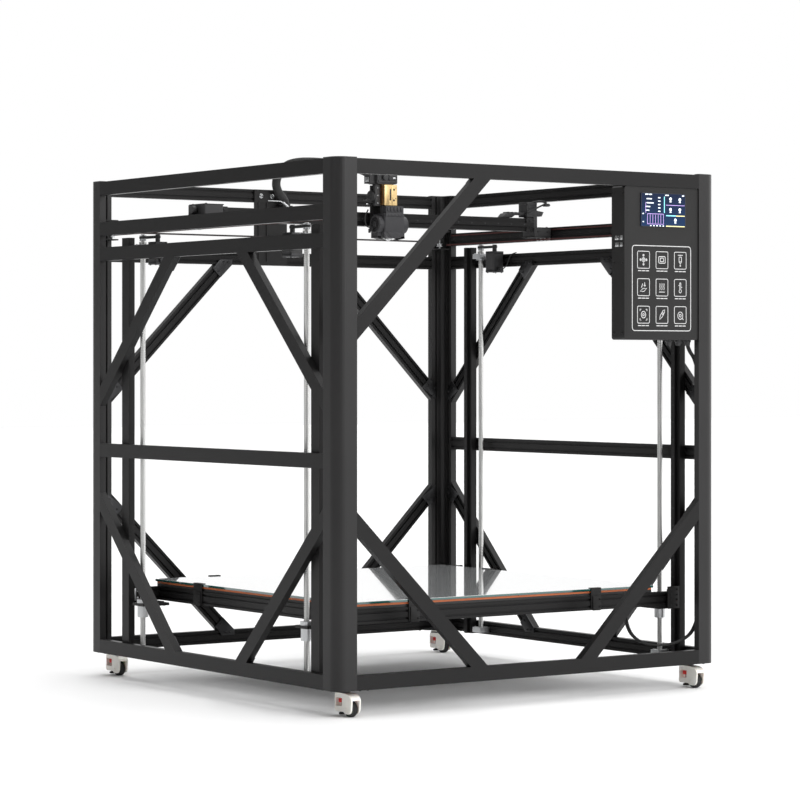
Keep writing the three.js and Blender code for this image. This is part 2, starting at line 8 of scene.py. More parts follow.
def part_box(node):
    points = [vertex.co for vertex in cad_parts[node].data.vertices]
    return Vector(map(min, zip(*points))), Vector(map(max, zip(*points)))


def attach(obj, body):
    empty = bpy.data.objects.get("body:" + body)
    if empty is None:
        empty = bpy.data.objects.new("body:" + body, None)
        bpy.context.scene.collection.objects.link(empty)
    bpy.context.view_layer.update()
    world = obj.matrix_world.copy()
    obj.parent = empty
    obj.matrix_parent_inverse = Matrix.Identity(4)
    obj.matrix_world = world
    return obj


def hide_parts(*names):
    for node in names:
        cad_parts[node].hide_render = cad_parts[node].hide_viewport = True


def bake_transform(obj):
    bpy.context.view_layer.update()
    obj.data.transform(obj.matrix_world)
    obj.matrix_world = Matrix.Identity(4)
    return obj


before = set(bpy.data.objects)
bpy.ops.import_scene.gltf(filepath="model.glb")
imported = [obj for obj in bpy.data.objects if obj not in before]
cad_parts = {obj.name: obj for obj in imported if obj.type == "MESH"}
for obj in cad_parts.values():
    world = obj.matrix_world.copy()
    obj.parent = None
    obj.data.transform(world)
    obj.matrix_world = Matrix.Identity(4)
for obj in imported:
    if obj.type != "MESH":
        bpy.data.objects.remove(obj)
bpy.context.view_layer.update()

MM = 0.001
TURN = math.pi / 2
CORNERS = [
    ("front_left", -1, -1),
    ("front_right", 1, -1),
    ("rear_left", -1, 1),
    ("rear_right", 1, 1),
]


def box(node):
    """Lowest and highest corner of a CAD node, in millimetres."""
    low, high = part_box(node)
    return Vector(low) / MM, Vector(high) / MM


POST_LOW, POST_HIGH = box("corner_post_front_left")
BASE = POST_LOW.z
TOP = POST_HIGH.z
HALF_WIDTH = -POST_LOW.x
HALF_DEPTH = -POST_LOW.y
ARM = POST_HIGH.x - POST_LOW.x
THICK = 20
HIGH = 40


# ---- Camera, floor and light ----
def make_camera():
    camera = bpy.data.objects.new("camera", bpy.data.cameras.new("camera"))
    bpy.context.scene.collection.objects.link(camera)
    camera.data.lens = 129.2
    camera.data.sensor_width = 36
    camera.data.shift_y = -0.0447
    camera.data.clip_end = 100
    camera.location = (-4.827, -6.902, 0.928)
    camera.rotation_euler = (TURN, 0, math.radians(-35.04))
    bpy.context.scene.camera = camera


def area_light(name, place, target, size, power):
    light = bpy.data.objects.new(name, bpy.data.lights.new(name, "AREA"))
    light.data.shape = "RECTANGLE"
    light.data.size, light.data.size_y = size
    light.data.energy = power
    light.location = place
    aim = Vector(target) - Vector(place)
    light.rotation_euler = aim.to_track_quat("-Z", "Y").to_euler()
    bpy.context.scene.collection.objects.link(light)


def ramp(tree, way, start, end, low, high):
    """A smooth change from low to high as the way goes from start to end."""
    node = tree.nodes.new("ShaderNodeMapRange")
    node.interpolation_type = "SMOOTHSTEP"
    node.inputs["From Min"].default_value = start
    node.inputs["From Max"].default_value = end
    node.inputs["To Min"].default_value = low
    node.inputs["To Max"].default_value = high
    tree.links.new(way, node.inputs["Value"])
    return node.outputs["Result"]


def make_studio():
    """White studio, dim on the left, bright on the far right, with an even soft light overhead."""
    world = bpy.data.worlds.new("studio")
    world.use_nodes = True
    tree = world.node_tree
    background = tree.nodes["Background"]
    background.inputs["Color"].default_value = (1, 1, 1, 1)
    way = tree.nodes.new("ShaderNodeTexCoord")
    parts = tree.nodes.new("ShaderNodeSeparateXYZ")
    product = tree.nodes.new("ShaderNodeMath")
    product.operation = "MULTIPLY"
    tree.links.new(way.outputs["Generated"], parts.inputs[0])
    left_fade = ramp(tree, parts.outputs["X"], -0.55, 0.35, 0.16, 1.0)
    right_glow = ramp(tree, parts.outputs["X"], 0.72, 0.9, 1.0, 1.9)
    tree.links.new(left_fade, product.inputs[0])
    tree.links.new(right_glow, product.inputs[1])
    tree.links.new(product.outputs["Value"], background.inputs["Strength"])
    bpy.context.scene.world = world
    bpy.context.scene.view_settings.view_transform = "Standard"
    area_light("key", (1.5, -6.0, 3.2), (0, 0, 0.7), (4, 3), 110)
    area_light("side", (-5.5, -0.5, 3.5), (0, 0, 0.7), (2, 2), 18)
    sky = bpy.data.objects.new("sky", bpy.data.lights.new("sky", "SUN"))
    sky.data.energy = 1.9
    sky.data.angle = math.radians(70)
    bpy.context.scene.collection.objects.link(sky)


# ---- Shader building ----
class Value:
    """A socket that adds Math nodes where it is used in an expression."""

    def __init__(self, finish, socket):
        self.finish = finish
        self.socket = socket

    def _math(self, operation, first, second=0.0):
        return self.finish.node("ShaderNodeMath", {"operation": operation}, {0: first, 1: second})

    def __add__(self, other):
        return self._math("ADD", self, other)

    __radd__ = __add__

    def __sub__(self, other):
        return self._math("SUBTRACT", self, other)

    def __rsub__(self, other):
        return self._math("SUBTRACT", other, self)

    def __mul__(self, other):
        return self._math("MULTIPLY", self, other)

    __rmul__ = __mul__

    def __truediv__(self, other):
        return self._math("DIVIDE", self, other)

    def __gt__(self, other):
        return self._math("GREATER_THAN", self, other)

    def __lt__(self, other):
        return self._math("LESS_THAN", self, other)

    def __abs__(self):
        return self._math("ABSOLUTE", self)

    def wave(self):
        return self._math("SINE", self)


class Finish:
    """One material: a Principled shader with steady values, and what varies over the surface."""

    def __init__(self, name, color, roughness, metallic=0.0, coat=0.0, specular=0.5):
        self.material = bpy.data.materials.new(name)
        self.material.use_nodes = True
        self.tree = self.material.node_tree
        self.shader = self.tree.nodes["Principled BSDF"]
        self.set("Base Color", (*color, 1))
        self.set("Roughness", roughness)
        self.set("Metallic", metallic)
        self.set("Coat Weight", coat)
        self.set("Specular IOR Level", specular)

    def set(self, name, value):
        socket = self.shader.inputs[name]
        if isinstance(value, Value):
            self.tree.links.new(value.socket, socket)
        else:
            socket.default_value = value

    def node(self, kind, settings=None, inputs=None, output=0):
        made = self.tree.nodes.new(kind)
        for name, value in (settings or {}).items():
            if name == "stops":
                for index, (place, color) in enumerate(value):
                    ramp = made.color_ramp.elements
                    stop = ramp[index] if index < len(ramp) else ramp.new(place)
                    stop.position = place
                    stop.color = color
            else:
                setattr(made, name, value)
        for name, value in (inputs or {}).items():
            if isinstance(value, Value):
                self.tree.links.new(value.socket, made.inputs[name])
            else:
                made.inputs[name].default_value = value
        return Value(self, made.outputs[output])

    def place(self, stretch=(1, 1, 1)):
        where = self.node("ShaderNodeTexCoord", output="Object")
        settings = {"operation": "MULTIPLY"}
        return self.node("ShaderNodeVectorMath", settings, {0: where, 1: stretch})

    def axes(self):
        where = self.node("ShaderNodeTexCoord", output="Object")
        parts = [self.node("ShaderNodeSeparateXYZ", None, {0: where}, name) for name in "XYZ"]
        return parts

    def noise(self, scale, detail=3.0, stretch=(1, 1, 1)):
        inputs = {"Vector": self.place(stretch), "Scale": scale, "Detail": detail}
        return self.node("ShaderNodeTexNoise", None, inputs)

    def mix(self, mask, first, second):
        def color(value):
            return value if isinstance(value, Value) else (*value, 1)

        inputs = {0: mask, 6: color(first), 7: color(second)}
        return self.node("ShaderNodeMix", {"data_type": "RGBA"}, inputs, 2)

    def bump(self, height, strength, distance=0.0005):
        inputs = {"Height": height, "Strength": strength, "Distance": distance}
        self.set("Normal", self.node("ShaderNodeBump", None, inputs))

    def speckled(self, dark, light, tone_scale, grain_scale, rough, strength):
        """Slow change of tone, fine grain in the gloss and the surface."""
        tone = self.noise(tone_scale)
        grain = self.noise(grain_scale, 2.0)
        self.color = self.mix(tone, dark, light)
        self.gloss = rough[0] + (rough[1] - rough[0]) * grain
        self.set("Base Color", self.color)
        self.set("Roughness", self.gloss)
        self.bump(grain, strength)
        return self


# The second argument scales the colour and specular of this black anodising. Below 1 it gives a darker copy of the
# same finish: painted shade, used on the beams and bed frame to make them darker than the posts.
def anodised(name="black_anodised", painted_shade_scale=1.0):
    finish = Finish(name, (0.02, 0.02, 0.02), 0.4, 0.35, 0.0, 0.5 * painted_shade_scale)
    dark = [0.016 * painted_shade_scale, 0.0155 * painted_shade_scale, 0.0158 * painted_shade_scale]
    light = [0.024 * painted_shade_scale, 0.023 * painted_shade_scale, 0.0232 * painted_shade_scale]
    return finish.speckled(dark, light, 5, 900, (0.34, 0.46), 0.08)


def anodised_with_bearings():
    """Black beam whose bearing blocks, on the inner side, are bare aluminium."""
    # 0.62 makes this a darker copy of the posts' black anodising: painted shade.
    finish = anodised("beam_with_bearings_painted_shade", 0.62)
    x, _, _ = finish.axes()
    bare = abs(x) < (HALF_WIDTH - THICK - 0.15) * MM
    finish.set("Base Color", finish.mix(bare, finish.color, (0.62, 0.63, 0.64)))
    finish.set("Metallic", 0.35 + 0.6 * bare)
    return finish


def motor_with_bearing():
    """Black motor whose top bearing block, towards the screw, is bare aluminium."""
    finish = moulded("motor_black")
    _, y, _ = finish.axes()
    bare = abs(y - SCREW_MIDDLE * MM) > 0.4165
    finish.set("Base Color", finish.mix(bare, finish.color, (0.62, 0.63, 0.64)))
    finish.set("Metallic", 0.9 * bare)
    return finish


def bed_frame_finish():
    """Black beams with bright lead nuts at the four corners."""
    # 0.62 makes this a darker copy of the posts' black anodising: painted shade.
    finish = anodised("bed_frame_anodised_painted_shade", 0.62)
    x, y, z = finish.axes()
    low, _ = box("bed_frame")
    plate = (low.z + 33) * MM
    corner = (abs(x) > 0.59) * (abs(y - SCREW_MIDDLE * MM) < 0.48)
    nut = corner * ((z < plate - 0.0005) + (z > plate + 0.0085))
    finish.set("Base Color", finish.mix(nut, finish.color, (0.6, 0.61, 0.62)))
    finish.set("Metallic", 0.35 + 0.6 * nut)
    return finish


def moulded(name, dark=(0.02, 0.02, 0.021), light=(0.032, 0.031, 0.032)):
    finish = Finish(name, dark, 0.5)
    return finish.speckled(dark, light, 12, 1600, (0.42, 0.6), 0.25)


def powder_coat():
    finish = Finish("powder_coat", (0.015, 0.015, 0.015), 0.5, 0.0, 0.0, 0.26)
    finish.speckled((0.014, 0.0135, 0.0135), (0.019, 0.0185, 0.0185), 4, 700, (0.42, 0.55), 0.3)
    return finish


def brushed(name, color, rough=(0.18, 0.36), stretch=(1, 1, 0.04)):
    finish = Finish(name, color, rough[0], 1.0)
    streak = finish.noise(900, 2.0, stretch)
    tone = finish.noise(14)
    finish.set("Base Color", finish.mix(tone, [c * 0.82 for c in color], color))
    finish.set("Roughness", rough[0] + (rough[1] - rough[0]) * streak)
    finish.bump(streak, 0.06)
    return finish


def float_glass():
    """Glass: bright mirror top coloured near white as a painted reflection of the white studio, dark teal cut edge
    painted darker toward its bottom as painted shade.
    """
    finish = Finish("bed_glass", (0.9, 0.92, 0.93), 0.04, 0.0, 1.0, 0.8)
    _, _, z = finish.axes()
    low, high = box("bed_glass")
    face = z > (high.z - 0.8) * MM
    haze = finish.noise(3, 4.0)
    # The near-white top colour, varied by the haze noise, is a painted reflection of the white studio. The near-white
    # base colour given to Finish above is the same painted reflection.
    top = finish.mix(haze, (0.8, 0.82, 0.83), (0.86, 0.88, 0.885))
    depth = (z - low.z * MM) / ((high.z - low.z) * MM)
    # The cut edge runs from darker teal at its bottom to lighter teal at its top: painted shade and a painted
    # highlight over the glass's own teal.
    edge = finish.mix(depth, (0.006, 0.05, 0.045), (0.02, 0.13, 0.115))
    finish.set("Base Color", finish.mix(face, edge, top))
    finish.set("Roughness", 0.05 + 0.05 * haze)
    return finish


def silicone():
    """Orange heater mat on a black insulating sheet."""
    finish = Finish("heater_silicone", (0.7, 0.2, 0.06), 0.6)
    x, y, z = finish.axes()
    weave = (x * 2400).wave() * (y * 2400).wave()
    tone = finish.noise(20)
    mat = finish.mix(tone, (0.5, 0.11, 0.03), (0.68, 0.18, 0.055))
    upper = z > (box("bed_heater")[1].z - 5.5) * MM
    finish.set("Base Color", finish.mix(upper, (0.02, 0.02, 0.02), mat))
    finish.set("Roughness", 0.5 + 0.15 * tone)
    finish.bump(weave, 0.3)
    return finish


def sleeve():
    """Braided cable sleeve: crossed strands, painted darker in the hollows between them (painted shade) and lighter
    on their crowns (painted highlight).
    """
    finish = Finish("braided_sleeve", (0.02, 0.02, 0.02), 0.75)
    x, y, z = finish.axes()
    one = ((x + y + z) * 1500).wave()
    two = ((x - y + z) * 1500).wave()
    braid = one * two * 0.5 + 0.5
    # The colour follows the braid's height: dark in the hollows between strands is painted shade, light on the crowns
    # is a painted highlight.
    finish.set("Base Color", finish.mix(braid, (0.012, 0.012, 0.012), (0.045, 0.044, 0.044)))
    finish.set("Roughness", 0.6 + 0.25 * braid)
    finish.bump(braid, 0.6, 0.001)
    return finish


def rubber(name, dark, light, rough=(0.6, 0.85)):
    finish = Finish(name, dark, rough[0])
    return finish.speckled(dark, light, 30, 1200, rough, 0.3)


def nylon(name, dark, light):
    finish = Finish(name, light, 0.4, 0.0, 0.1)
    finish.set("Subsurface Weight", 0.05)
    return finish.speckled(dark, light, 25, 900, (0.34, 0.48), 0.12)


def screen():
    """Dark blue display face with a faint glow that varies from part to part."""
    finish = Finish("screen_face", (0.01, 0.03, 0.08), 0.2, 0.0, 0.0, 0.25)
    low, high = box("display")
    _, _, z = finish.axes()
    rise = (z - low.z * MM) / ((high.z - low.z) * MM)
    tone = finish.mix(rise, (0.004, 0.026, 0.085), (0.002, 0.009, 0.035))
    finish.set("Base Color", tone)
    finish.set("Emission Color", tone)
    finish.set("Emission Strength", 0.3)
    finish.set("Roughness", 0.18 + 0.08 * finish.noise(40))
    return finish


def glow(name, dark, light, strength=0.8):
    finish = Finish(name, light, 0.3)
    tone = finish.mix(finish.noise(60), dark, light)
    finish.set("Base Color", tone)
    finish.set("Emission Color", tone)
    finish.set("Emission Strength", strength)
    return finish


SCREW_MIDDLE = (box("lead_screw_front_left")[0].y + box("lead_screw_rear_left")[1].y) / 2
FINISHES = {
    "post": anodised("post_anodised"),
    # The beams and the bed frame take a darker copy (0.62) of the posts' black anodising: painted shade, not a
    # different finish.
    "anodised": anodised("beam_anodised_painted_shade", 0.62),
    "beam_bearings": anodised_with_bearings(),
    "bed_frame": bed_frame_finish(),
    "motor": motor_with_bearing(),
    "plastic": moulded("moulded_black"),
    "shroud": moulded("shroud_grey", (0.03, 0.03, 0.033), (0.045, 0.044, 0.048)),
    "sheet": powder_coat(),
    "steel": brushed("ground_steel", (0.66, 0.67, 0.68)),
    "screw_steel": brushed("rolled_screw_steel", (0.64, 0.64, 0.63), (0.3, 0.48)),
    "cast": brushed("bare_aluminium", (0.66, 0.67, 0.68), (0.3, 0.5), (1, 1, 1)),
    "dark_steel": brushed("blackened_steel", (0.06, 0.06, 0.062), (0.3, 0.5), (1, 1, 1)),
    "gold": brushed("gold_anodised", (0.9, 0.66, 0.33), (0.3, 0.45)),
    "copper": brushed("copper_tube", (0.62, 0.27, 0.13), (0.3, 0.5)),
    "brass": brushed("turned_brass", (0.78, 0.56, 0.25), (0.2, 0.35)),
    "glass": float_glass(),
    "heater": silicone(),
    "sleeve": sleeve(),
    "rubber": rubber("black_rubber", (0.014, 0.014, 0.014), (0.028, 0.028, 0.028)),
    "belt": rubber("toothed_belt", (0.02, 0.016, 0.016), (0.032, 0.025, 0.025)),
    "belt_edge": rubber("belt_cord_red", (0.05, 0.012, 0.011), (0.085, 0.02, 0.018)),
    "silver_silicone": rubber("pale_silicone", (0.6, 0.6, 0.6), (0.72, 0.72, 0.73), (0.35, 0.5)),
    "cream": nylon("cream_nylon", (0.93, 0.89, 0.82), (0.97, 0.94, 0.88)),
    "red": nylon("red_nylon", (0.6, 0.016, 0.014), (0.78, 0.028, 0.022)),
    "screen": screen(),
    "print": glow("white_print", (0.68, 0.68, 0.68), (0.8, 0.8, 0.8), 0.0),
    "lit_white": glow("screen_white", (0.75, 0.85, 0.95), (0.95, 1.0, 1.0)),
    "lit_cyan": glow("screen_cyan", (0.2, 0.7, 0.85), (0.35, 0.85, 0.95)),
    "lit_purple": glow("screen_purple", (0.42, 0.3, 0.7), (0.6, 0.4, 0.85)),
    "lit_yellow": glow("screen_yellow", (0.8, 0.7, 0.25), (0.95, 0.85, 0.45)),
}


# ---- Mesh building ----
class Shape:
    """Collects closed solids, in millimetres, and makes one piece of them."""

    def __init__(self, turn=None):
        self.mesh = bmesh.new()
        self.turn = turn or Matrix.Identity(4)

    def add(self, points, faces, bevel=0.0, segments=2):
        made = [self.mesh.verts.new(self.turn @ Vector(p)) for p in points]
        new = [self.mesh.faces.new([made[i] for i in face]) for face in faces]
        bmesh.ops.recalc_face_normals(self.mesh, faces=new)
        if bevel:
            edges = {edge for face in new for edge in face.edges}
            sharp = [edge for edge in edges if edge.calc_face_angle(0) > 0.6]
            bmesh.ops.bevel(
                self.mesh,
                geom=sharp,
                offset=bevel,
                segments=segments,
                profile=0.5,
                affect="EDGES",
                clamp_overlap=True,
            )
        return self

    def prism(self, outline, start, end, plane="xy", bevel=0.0):
        """An outline in a plane, run from start to end along the third axis."""
        order = {"xy": (0, 1, 2), "xz": (0, 2, 1), "yz": (1, 2, 0)}[plane]
        points = []
        for level in (start, end):
            for a, b in outline:
                point = [0, 0, 0]
                point[order[0]], point[order[1]], point[order[2]] = a, b, level
                points.append(point)
        n = len(outline)
        faces = [[i, (i + 1) % n, n + (i + 1) % n, n + i] for i in range(n)]
        faces += [list(range(n))[::-1], list(range(n, 2 * n))]
        return self.add(points, faces, bevel)

    def block(self, low, high, bevel=0.6):
        outline = [(low[0], low[1]), (high[0], low[1]), (high[0], high[1]), (low[0], high[1])]
        return self.prism(outline, low[2], high[2], "xy", bevel)

    def lathe(self, profile, at, axis="z", sides=24):
        """(radius, height) points turned about an axis through at. Radius 0 closes an end."""
        toward = {"x": (1, 2, 0), "y": (2, 0, 1), "z": (0, 1, 2)}[axis]
        points, rings = [], []
        for radius, height in profile:
            ring = []
            for side in range(sides if radius > 0 else 1):
                angle = 2 * math.pi * side / sides
                point = [0, 0, 0]
                point[toward[0]] = radius * math.cos(angle)
                point[toward[1]] = radius * math.sin(angle)
                point[toward[2]] = height
                ring.append(len(points))
                points.append(Vector(point) + Vector(at))
            rings.append(ring)
        pairs = list(zip(rings, rings[1:]))
        if profile[0][0] > 0:
            pairs.append((rings[-1], rings[0]))
        faces = []
        for first, second in pairs:
            for side in range(sides):
                after = (side + 1) % sides
                quad = [first[side % len(first)], first[after % len(first)]]
                quad += [second[after % len(second)], second[side % len(second)]]
                faces.append(list(dict.fromkeys(quad)))
        return self.add(points, [face for face in faces if len(face) > 2])

    def tube(self, path, radius, sides=10):
        """A round tube along a path of points, with flat ends."""
        path = [Vector(p) for p in path]
        normal = None
        points = []
        for index, here in enumerate(path):
            ahead = path[min(index + 1, len(path) - 1)] - path[max(index - 1, 0)]
            ahead.normalize()
            if normal is None:
                normal = ahead.orthogonal().normalized()
            normal = (normal - ahead * normal.dot(ahead)).normalized()
            across = ahead.cross(normal)
            for side in range(sides):
                angle = 2 * math.pi * side / sides
                arm = normal * math.cos(angle) + across * math.sin(angle)
                points.append(here + arm * radius)
        faces = []
        for ring in range(len(path) - 1):
            for side in range(sides):
                after = (side + 1) % sides
                a, b = ring * sides, (ring + 1) * sides
                faces.append([a + side, a + after, b + after, b + side])
        last = (len(path) - 1) * sides
        faces += [list(range(sides))[::-1], list(range(last, last + sides))]
        return self.add(points, faces)

    def screw(self, at, direction, radius=4.0, height=2.4):
        """A button-head screw with a hexagon socket, its head rising along direction."""
        toward = Vector(direction).normalized()
        spin = toward.to_track_quat("Z", "Y").to_matrix().to_4x4()
        kept = self.turn
        self.turn = kept @ Matrix.Translation(Vector(at)) @ spin
        socket = radius * 0.5
        profile = [(0, height * 0.35), (socket, height * 0.35), (socket, height)]
        profile += [(radius * 0.62, height), (radius * 0.9, height * 0.72)]
        profile += [(radius, height * 0.3), (radius, 0), (0, 0)]
        self.lathe(profile, (0, 0, 0), "z", 12)
        self.turn = kept
        return self

    def piece(self, name, finish, body, slot, rides=True, smooth=38):
        self.mesh.transform(Matrix.Scale(MM, 4))
        data = bpy.data.meshes.new(name)
        self.mesh.to_mesh(data)
        self.mesh.free()
        data.polygons.foreach_set("use_smooth", [True] * len(data.polygons))
        data.set_sharp_from_angle(angle=math.radians(smooth))
        data.materials.append(FINISHES[finish].material)
        piece = bpy.data.objects.new(name, data)
        bpy.context.scene.collection.objects.link(piece)
        if rides:
            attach(piece, body)
        return piece


def arc(x, y, radius, start, end, steps=6):
    """Points on an arc, in quarter turns from +X."""
    angles = [TURN * (start + (end - start) * step / steps) for step in range(steps + 1)]
    return [(x + radius * math.cos(a), y + radius * math.sin(a)) for a in angles]


def rounded(left, low, right, high, radius, steps=4):
    return (
        arc(right - radius, low + radius, radius, -1, 0, steps)
        + arc(right - radius, high - radius, radius, 0, 1, steps)
        + arc(left + radius, high - radius, radius, 1, 2, steps)
        + arc(left + radius, low + radius, radius, 2, 3, steps)
    )


def curve_through(points, steps=6):
    """A smooth line through points (Catmull-Rom), with steps stretches between each pair."""
    ends = [2 * Vector(points[0]) - Vector(points[1])]
    ends += [Vector(p) for p in points]
    ends += [2 * Vector(points[-1]) - Vector(points[-2])]
    line = []
    for a, b, c, d in zip(ends, ends[1:], ends[2:], ends[3:]):
        for step in range(steps):
            t = step / steps
            line.append(0.5 * (2 * b + (c - a) * t + (2 * a - 5 * b + 4 * c - d) * t**2
                               + (3 * b - a - 3 * c + d) * t**3))
    return line + [Vector(points[-1])]


def corner_turn(hand, end):
    """Mirrors what is drawn for the rear right corner into another corner."""
    return Matrix.Diagonal((hand, end, 1, 1))


def side_turn(side):
    """Puts what is drawn on the front (outer face at y 0, inward +Y) onto a side of the frame."""
    quarter = {"front": 0, "right": 1, "rear": 2, "left": 3}[side]
    plane = HALF_DEPTH if side in ("front", "rear") else HALF_WIDTH
    return Matrix.Rotation(quarter * TURN, 4, "Z") @ Matrix.Translation((0, -plane, 0))


# ---- Cords ----
HARNESS_ROUTE = [
    (10, 620, 1421.8), (10, 620, 1428), (8, 620, 1437), (-2, 621, 1450), (-14, 622, 1466),
    (-21, 621, 1485), (-22, 615, 1505), (-19, 600, 1526), (-14, 565, 1544), (-8, 520, 1550),
    (-2, 455, 1548), (0, 380, 1541), (0, 300, 1531), (-5, 220, 1518), (-10, 150, 1502),
    (-13, 105, 1485), (-14, 80, 1477), (-14, 66, 1475), (-14, 57.4, 1475),
]
HARNESS_SPLIT = 12
BED_CABLE_ROUTE = [
    (430, -533, 229.6), (430, -533, 210), (433, -536, 180), (446, -545, 150), (475, -562, 128),
    (520, -584, 122), (565, -602, 130), (600, -618, 154), (620, -626, 200), (626, -628, 260),
    (626, -628, 370), (626, -628, 520), (626, -628, 670), (626, -628, 810), (622, -629, 890),
    (605, -631, 940), (585, -633, 965), (576, -634, 982), (575, -634, 996),
]


def make_harness():
    line = curve_through(HARNESS_ROUTE)
    cut = HARNESS_SPLIT * 6
    halves = [
        ("head_harness_rear", line[: cut + 1], "frame", "gantry"),
        ("head_harness_front", line[cut:], "gantry", "head"),
    ]
    for name, path, first, second in halves:
        piece = Shape().tube(path, 13.5, 20).piece(name, "sleeve", first, "cable_sleeve", rides=False)
        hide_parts("head_harness")
        path[0] * MM
        path[-1] * MM
        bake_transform(piece)


def make_bed_cable():
    line = curve_through(BED_CABLE_ROUTE)
    apart = 3.1
    for name, side in (("bed_cable_heater", 1), ("bed_cable_sensor", -1)):
        path = [p + Vector((0.5, -0.87, 0)) * side * apart for p in line]
        piece = Shape().tube(path, 2.9, 12).piece(name, "rubber", "frame", "cable_sleeve", rides=False)
        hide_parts("bed_cable")
        line[0] * MM
        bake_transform(piece)


# ---- Frame ----
def l_outline(arm, thick, radius):
    """Corner section with its arms along -X and -Y from the origin, at the rear right."""
    outer = arc(-radius, -radius, radius, 0, 1, 6)
    inner = arc(-radius, -radius, radius - thick, 1, 0, 6)
    return [(0, -arm)] + outer + [(-arm, 0), (-arm, -thick)] + inner + [(-thick, -arm)]


def make_corner_fittings():
    for name, hand, end in CORNERS:
        turn = corner_turn(hand, end)
        outline = [(x + HALF_WIDTH, y + HALF_DEPTH) for x, y in l_outline(ARM, THICK, 32)]
        cap = Shape(turn).prism(outline, TOP, TOP + 3, "xy", 0.8)
        cap.piece(f"post_cap_{name}", "plastic", "frame", "black_plastic")
        screws = Shape(turn)
        for along in (40, 80, 105):
            screws.screw((HALF_WIDTH - along, HALF_DEPTH - 10, BASE), (0, 0, -1), 4)
            screws.screw((HALF_WIDTH - 10, HALF_DEPTH - along, BASE), (0, 0, -1), 4)
        screws.piece(f"corner_screws_{name}", "dark_steel", "frame", "extrusion")
        x, y = HALF_WIDTH - THICK - 0.4, HALF_DEPTH - THICK - 0.4
        leg = 84
        plate = [(x, y), (x - leg, y), (x - leg, y - 14), (x - 14, y - leg), (x, y - leg)]
        gusset = Shape(turn).prism(plate, BASE + 0.3, BASE + 6, "xy", 0.8)
        for a, b in ((-14, -60), (-60, -14), (-20, -20)):
            gusset.screw((x + a, y + b, BASE + 6), (0, 0, 1), 4)
        gusset.piece(f"caster_plate_{name}", "dark_steel", "frame", "extrusion")


def brace_lines():
    """(side, hand, foot along the side, height of the foot, up or down) for every brace."""
    rows = []
    for side in ("front", "right", "rear", "left"):
        for hand in (-1, 1):
            rows.append((side, hand, 190, BASE + HIGH, 1))
            if side != "front":
                rows.append((side, hand, 198, BASE + 1165, -1))
    rows.append(("front", -1, 181, TOP - HIGH, -1))
    return rows


def make_brace_tabs():
    for index, (side, hand, foot, level, up) in enumerate(brace_lines()):
        span = (HALF_WIDTH if side in ("front", "rear") else HALF_DEPTH) - ARM
        turn = side_turn(side) @ Matrix.Diagonal((hand, 1, 1, 1))
        tab = Shape(turn)
        reach = span - foot
        ends = [((foot, level), 1), ((span, level + up * reach), -1)]
        for (x, z), sense in ends:
            run = 26 * sense
            if sense > 0:
                beam = [(x - 30, z - up * 16), (x + 14, z - up * 16), (x + run + 14, z + up * (run - 14))]
                outline = beam + [(x + run - 14, z + up * (run + 14)), (x - 30, z)]
                holes = [(x - 14, z - up * 8), (x + 2, z - up * 8), (x + 20, z + up * 20)]
            else:
                post = [(x + 15, z + up * 26), (x + 15, z - up * 22), (x - 12, z - up * 40)]
                outline = post + [(x - 40, z - up * 12)]
                holes = [(x + 8, z + up * 12), (x + 8, z - up * 8), (x - 18, z - up * 18)]
            tab.prism(outline, THICK + 0.3, THICK + 3.6, "xz", 0.5)
            for hx, hz in holes:
                tab.screw((hx, THICK + 3.6, hz), (0, 1, 0), 3.6, 2.2)
        tab.piece(f"brace_tab_{side}_{index}", "dark_steel", "frame", "extrusion")


def make_rear_plate():
    low, high = box("rear_plate")
    face = HALF_DEPTH - THICK - 5.3
    rings = Shape()
    for x in (-64, -24):
        profile = [(4.0, 0), (4.2, -1.6), (5.6, -2.6), (7.2, -1.4), (7.4, 0)]
        rings.lathe(profile, (x, face, high.z - 20), "y", 24)
        rings.screw((x, face, high.z - 20), (0, -1, 0), 3.0, 1.2)
    rings.piece("rear_plate_screws", "steel", "frame", "screw_steel")
    wire = [(-62, 604, 1434), (-20, 602, 1433), (-12, 601, 1430), (0, 599, 1421), (12, 597, 1411)]
    clamp = Shape().tube(curve_through(wire), 1.7, 10)
    clamp.tube(curve_through([(-10, 598, 1431), (2, 596, 1421), (15, 594, 1411)]), 2.6, 10)
    clamp.piece("harness_clamp_wire", "steel", "frame", "screw_steel")
    collar = Shape().lathe([(14, 0), (17.2, 0), (17.6, 2), (17.2, 5), (14, 5)], (10, 620, 1422), "z", 28)
    collar.piece("harness_collar", "plastic", "frame", "black_plastic")
    ribs = Shape()
    for x in (-74, -44):
        ribs.block((x - 2, face - 3, low.z + 12), (x + 2, face, high.z - 40), 0.6)
    ribs.piece("rear_plate_ribs", "sheet", "frame", "black_sheet")


def rail_screws(name, places, direction, body):
    """Screws sunk nearly flush, so that what slides along the rail clears their heads."""
    shape = Shape()
    for place in places:
        shape.screw(place, direction, 2.9, 0.2)
    shape.piece(name, "dark_steel", body, "extrusion")


def spaced(low, high, pitch):
    count = int((high - low) // pitch)
    first = (low + high - count * pitch) / 2
    return [first + pitch * step for step in range(count + 1)]


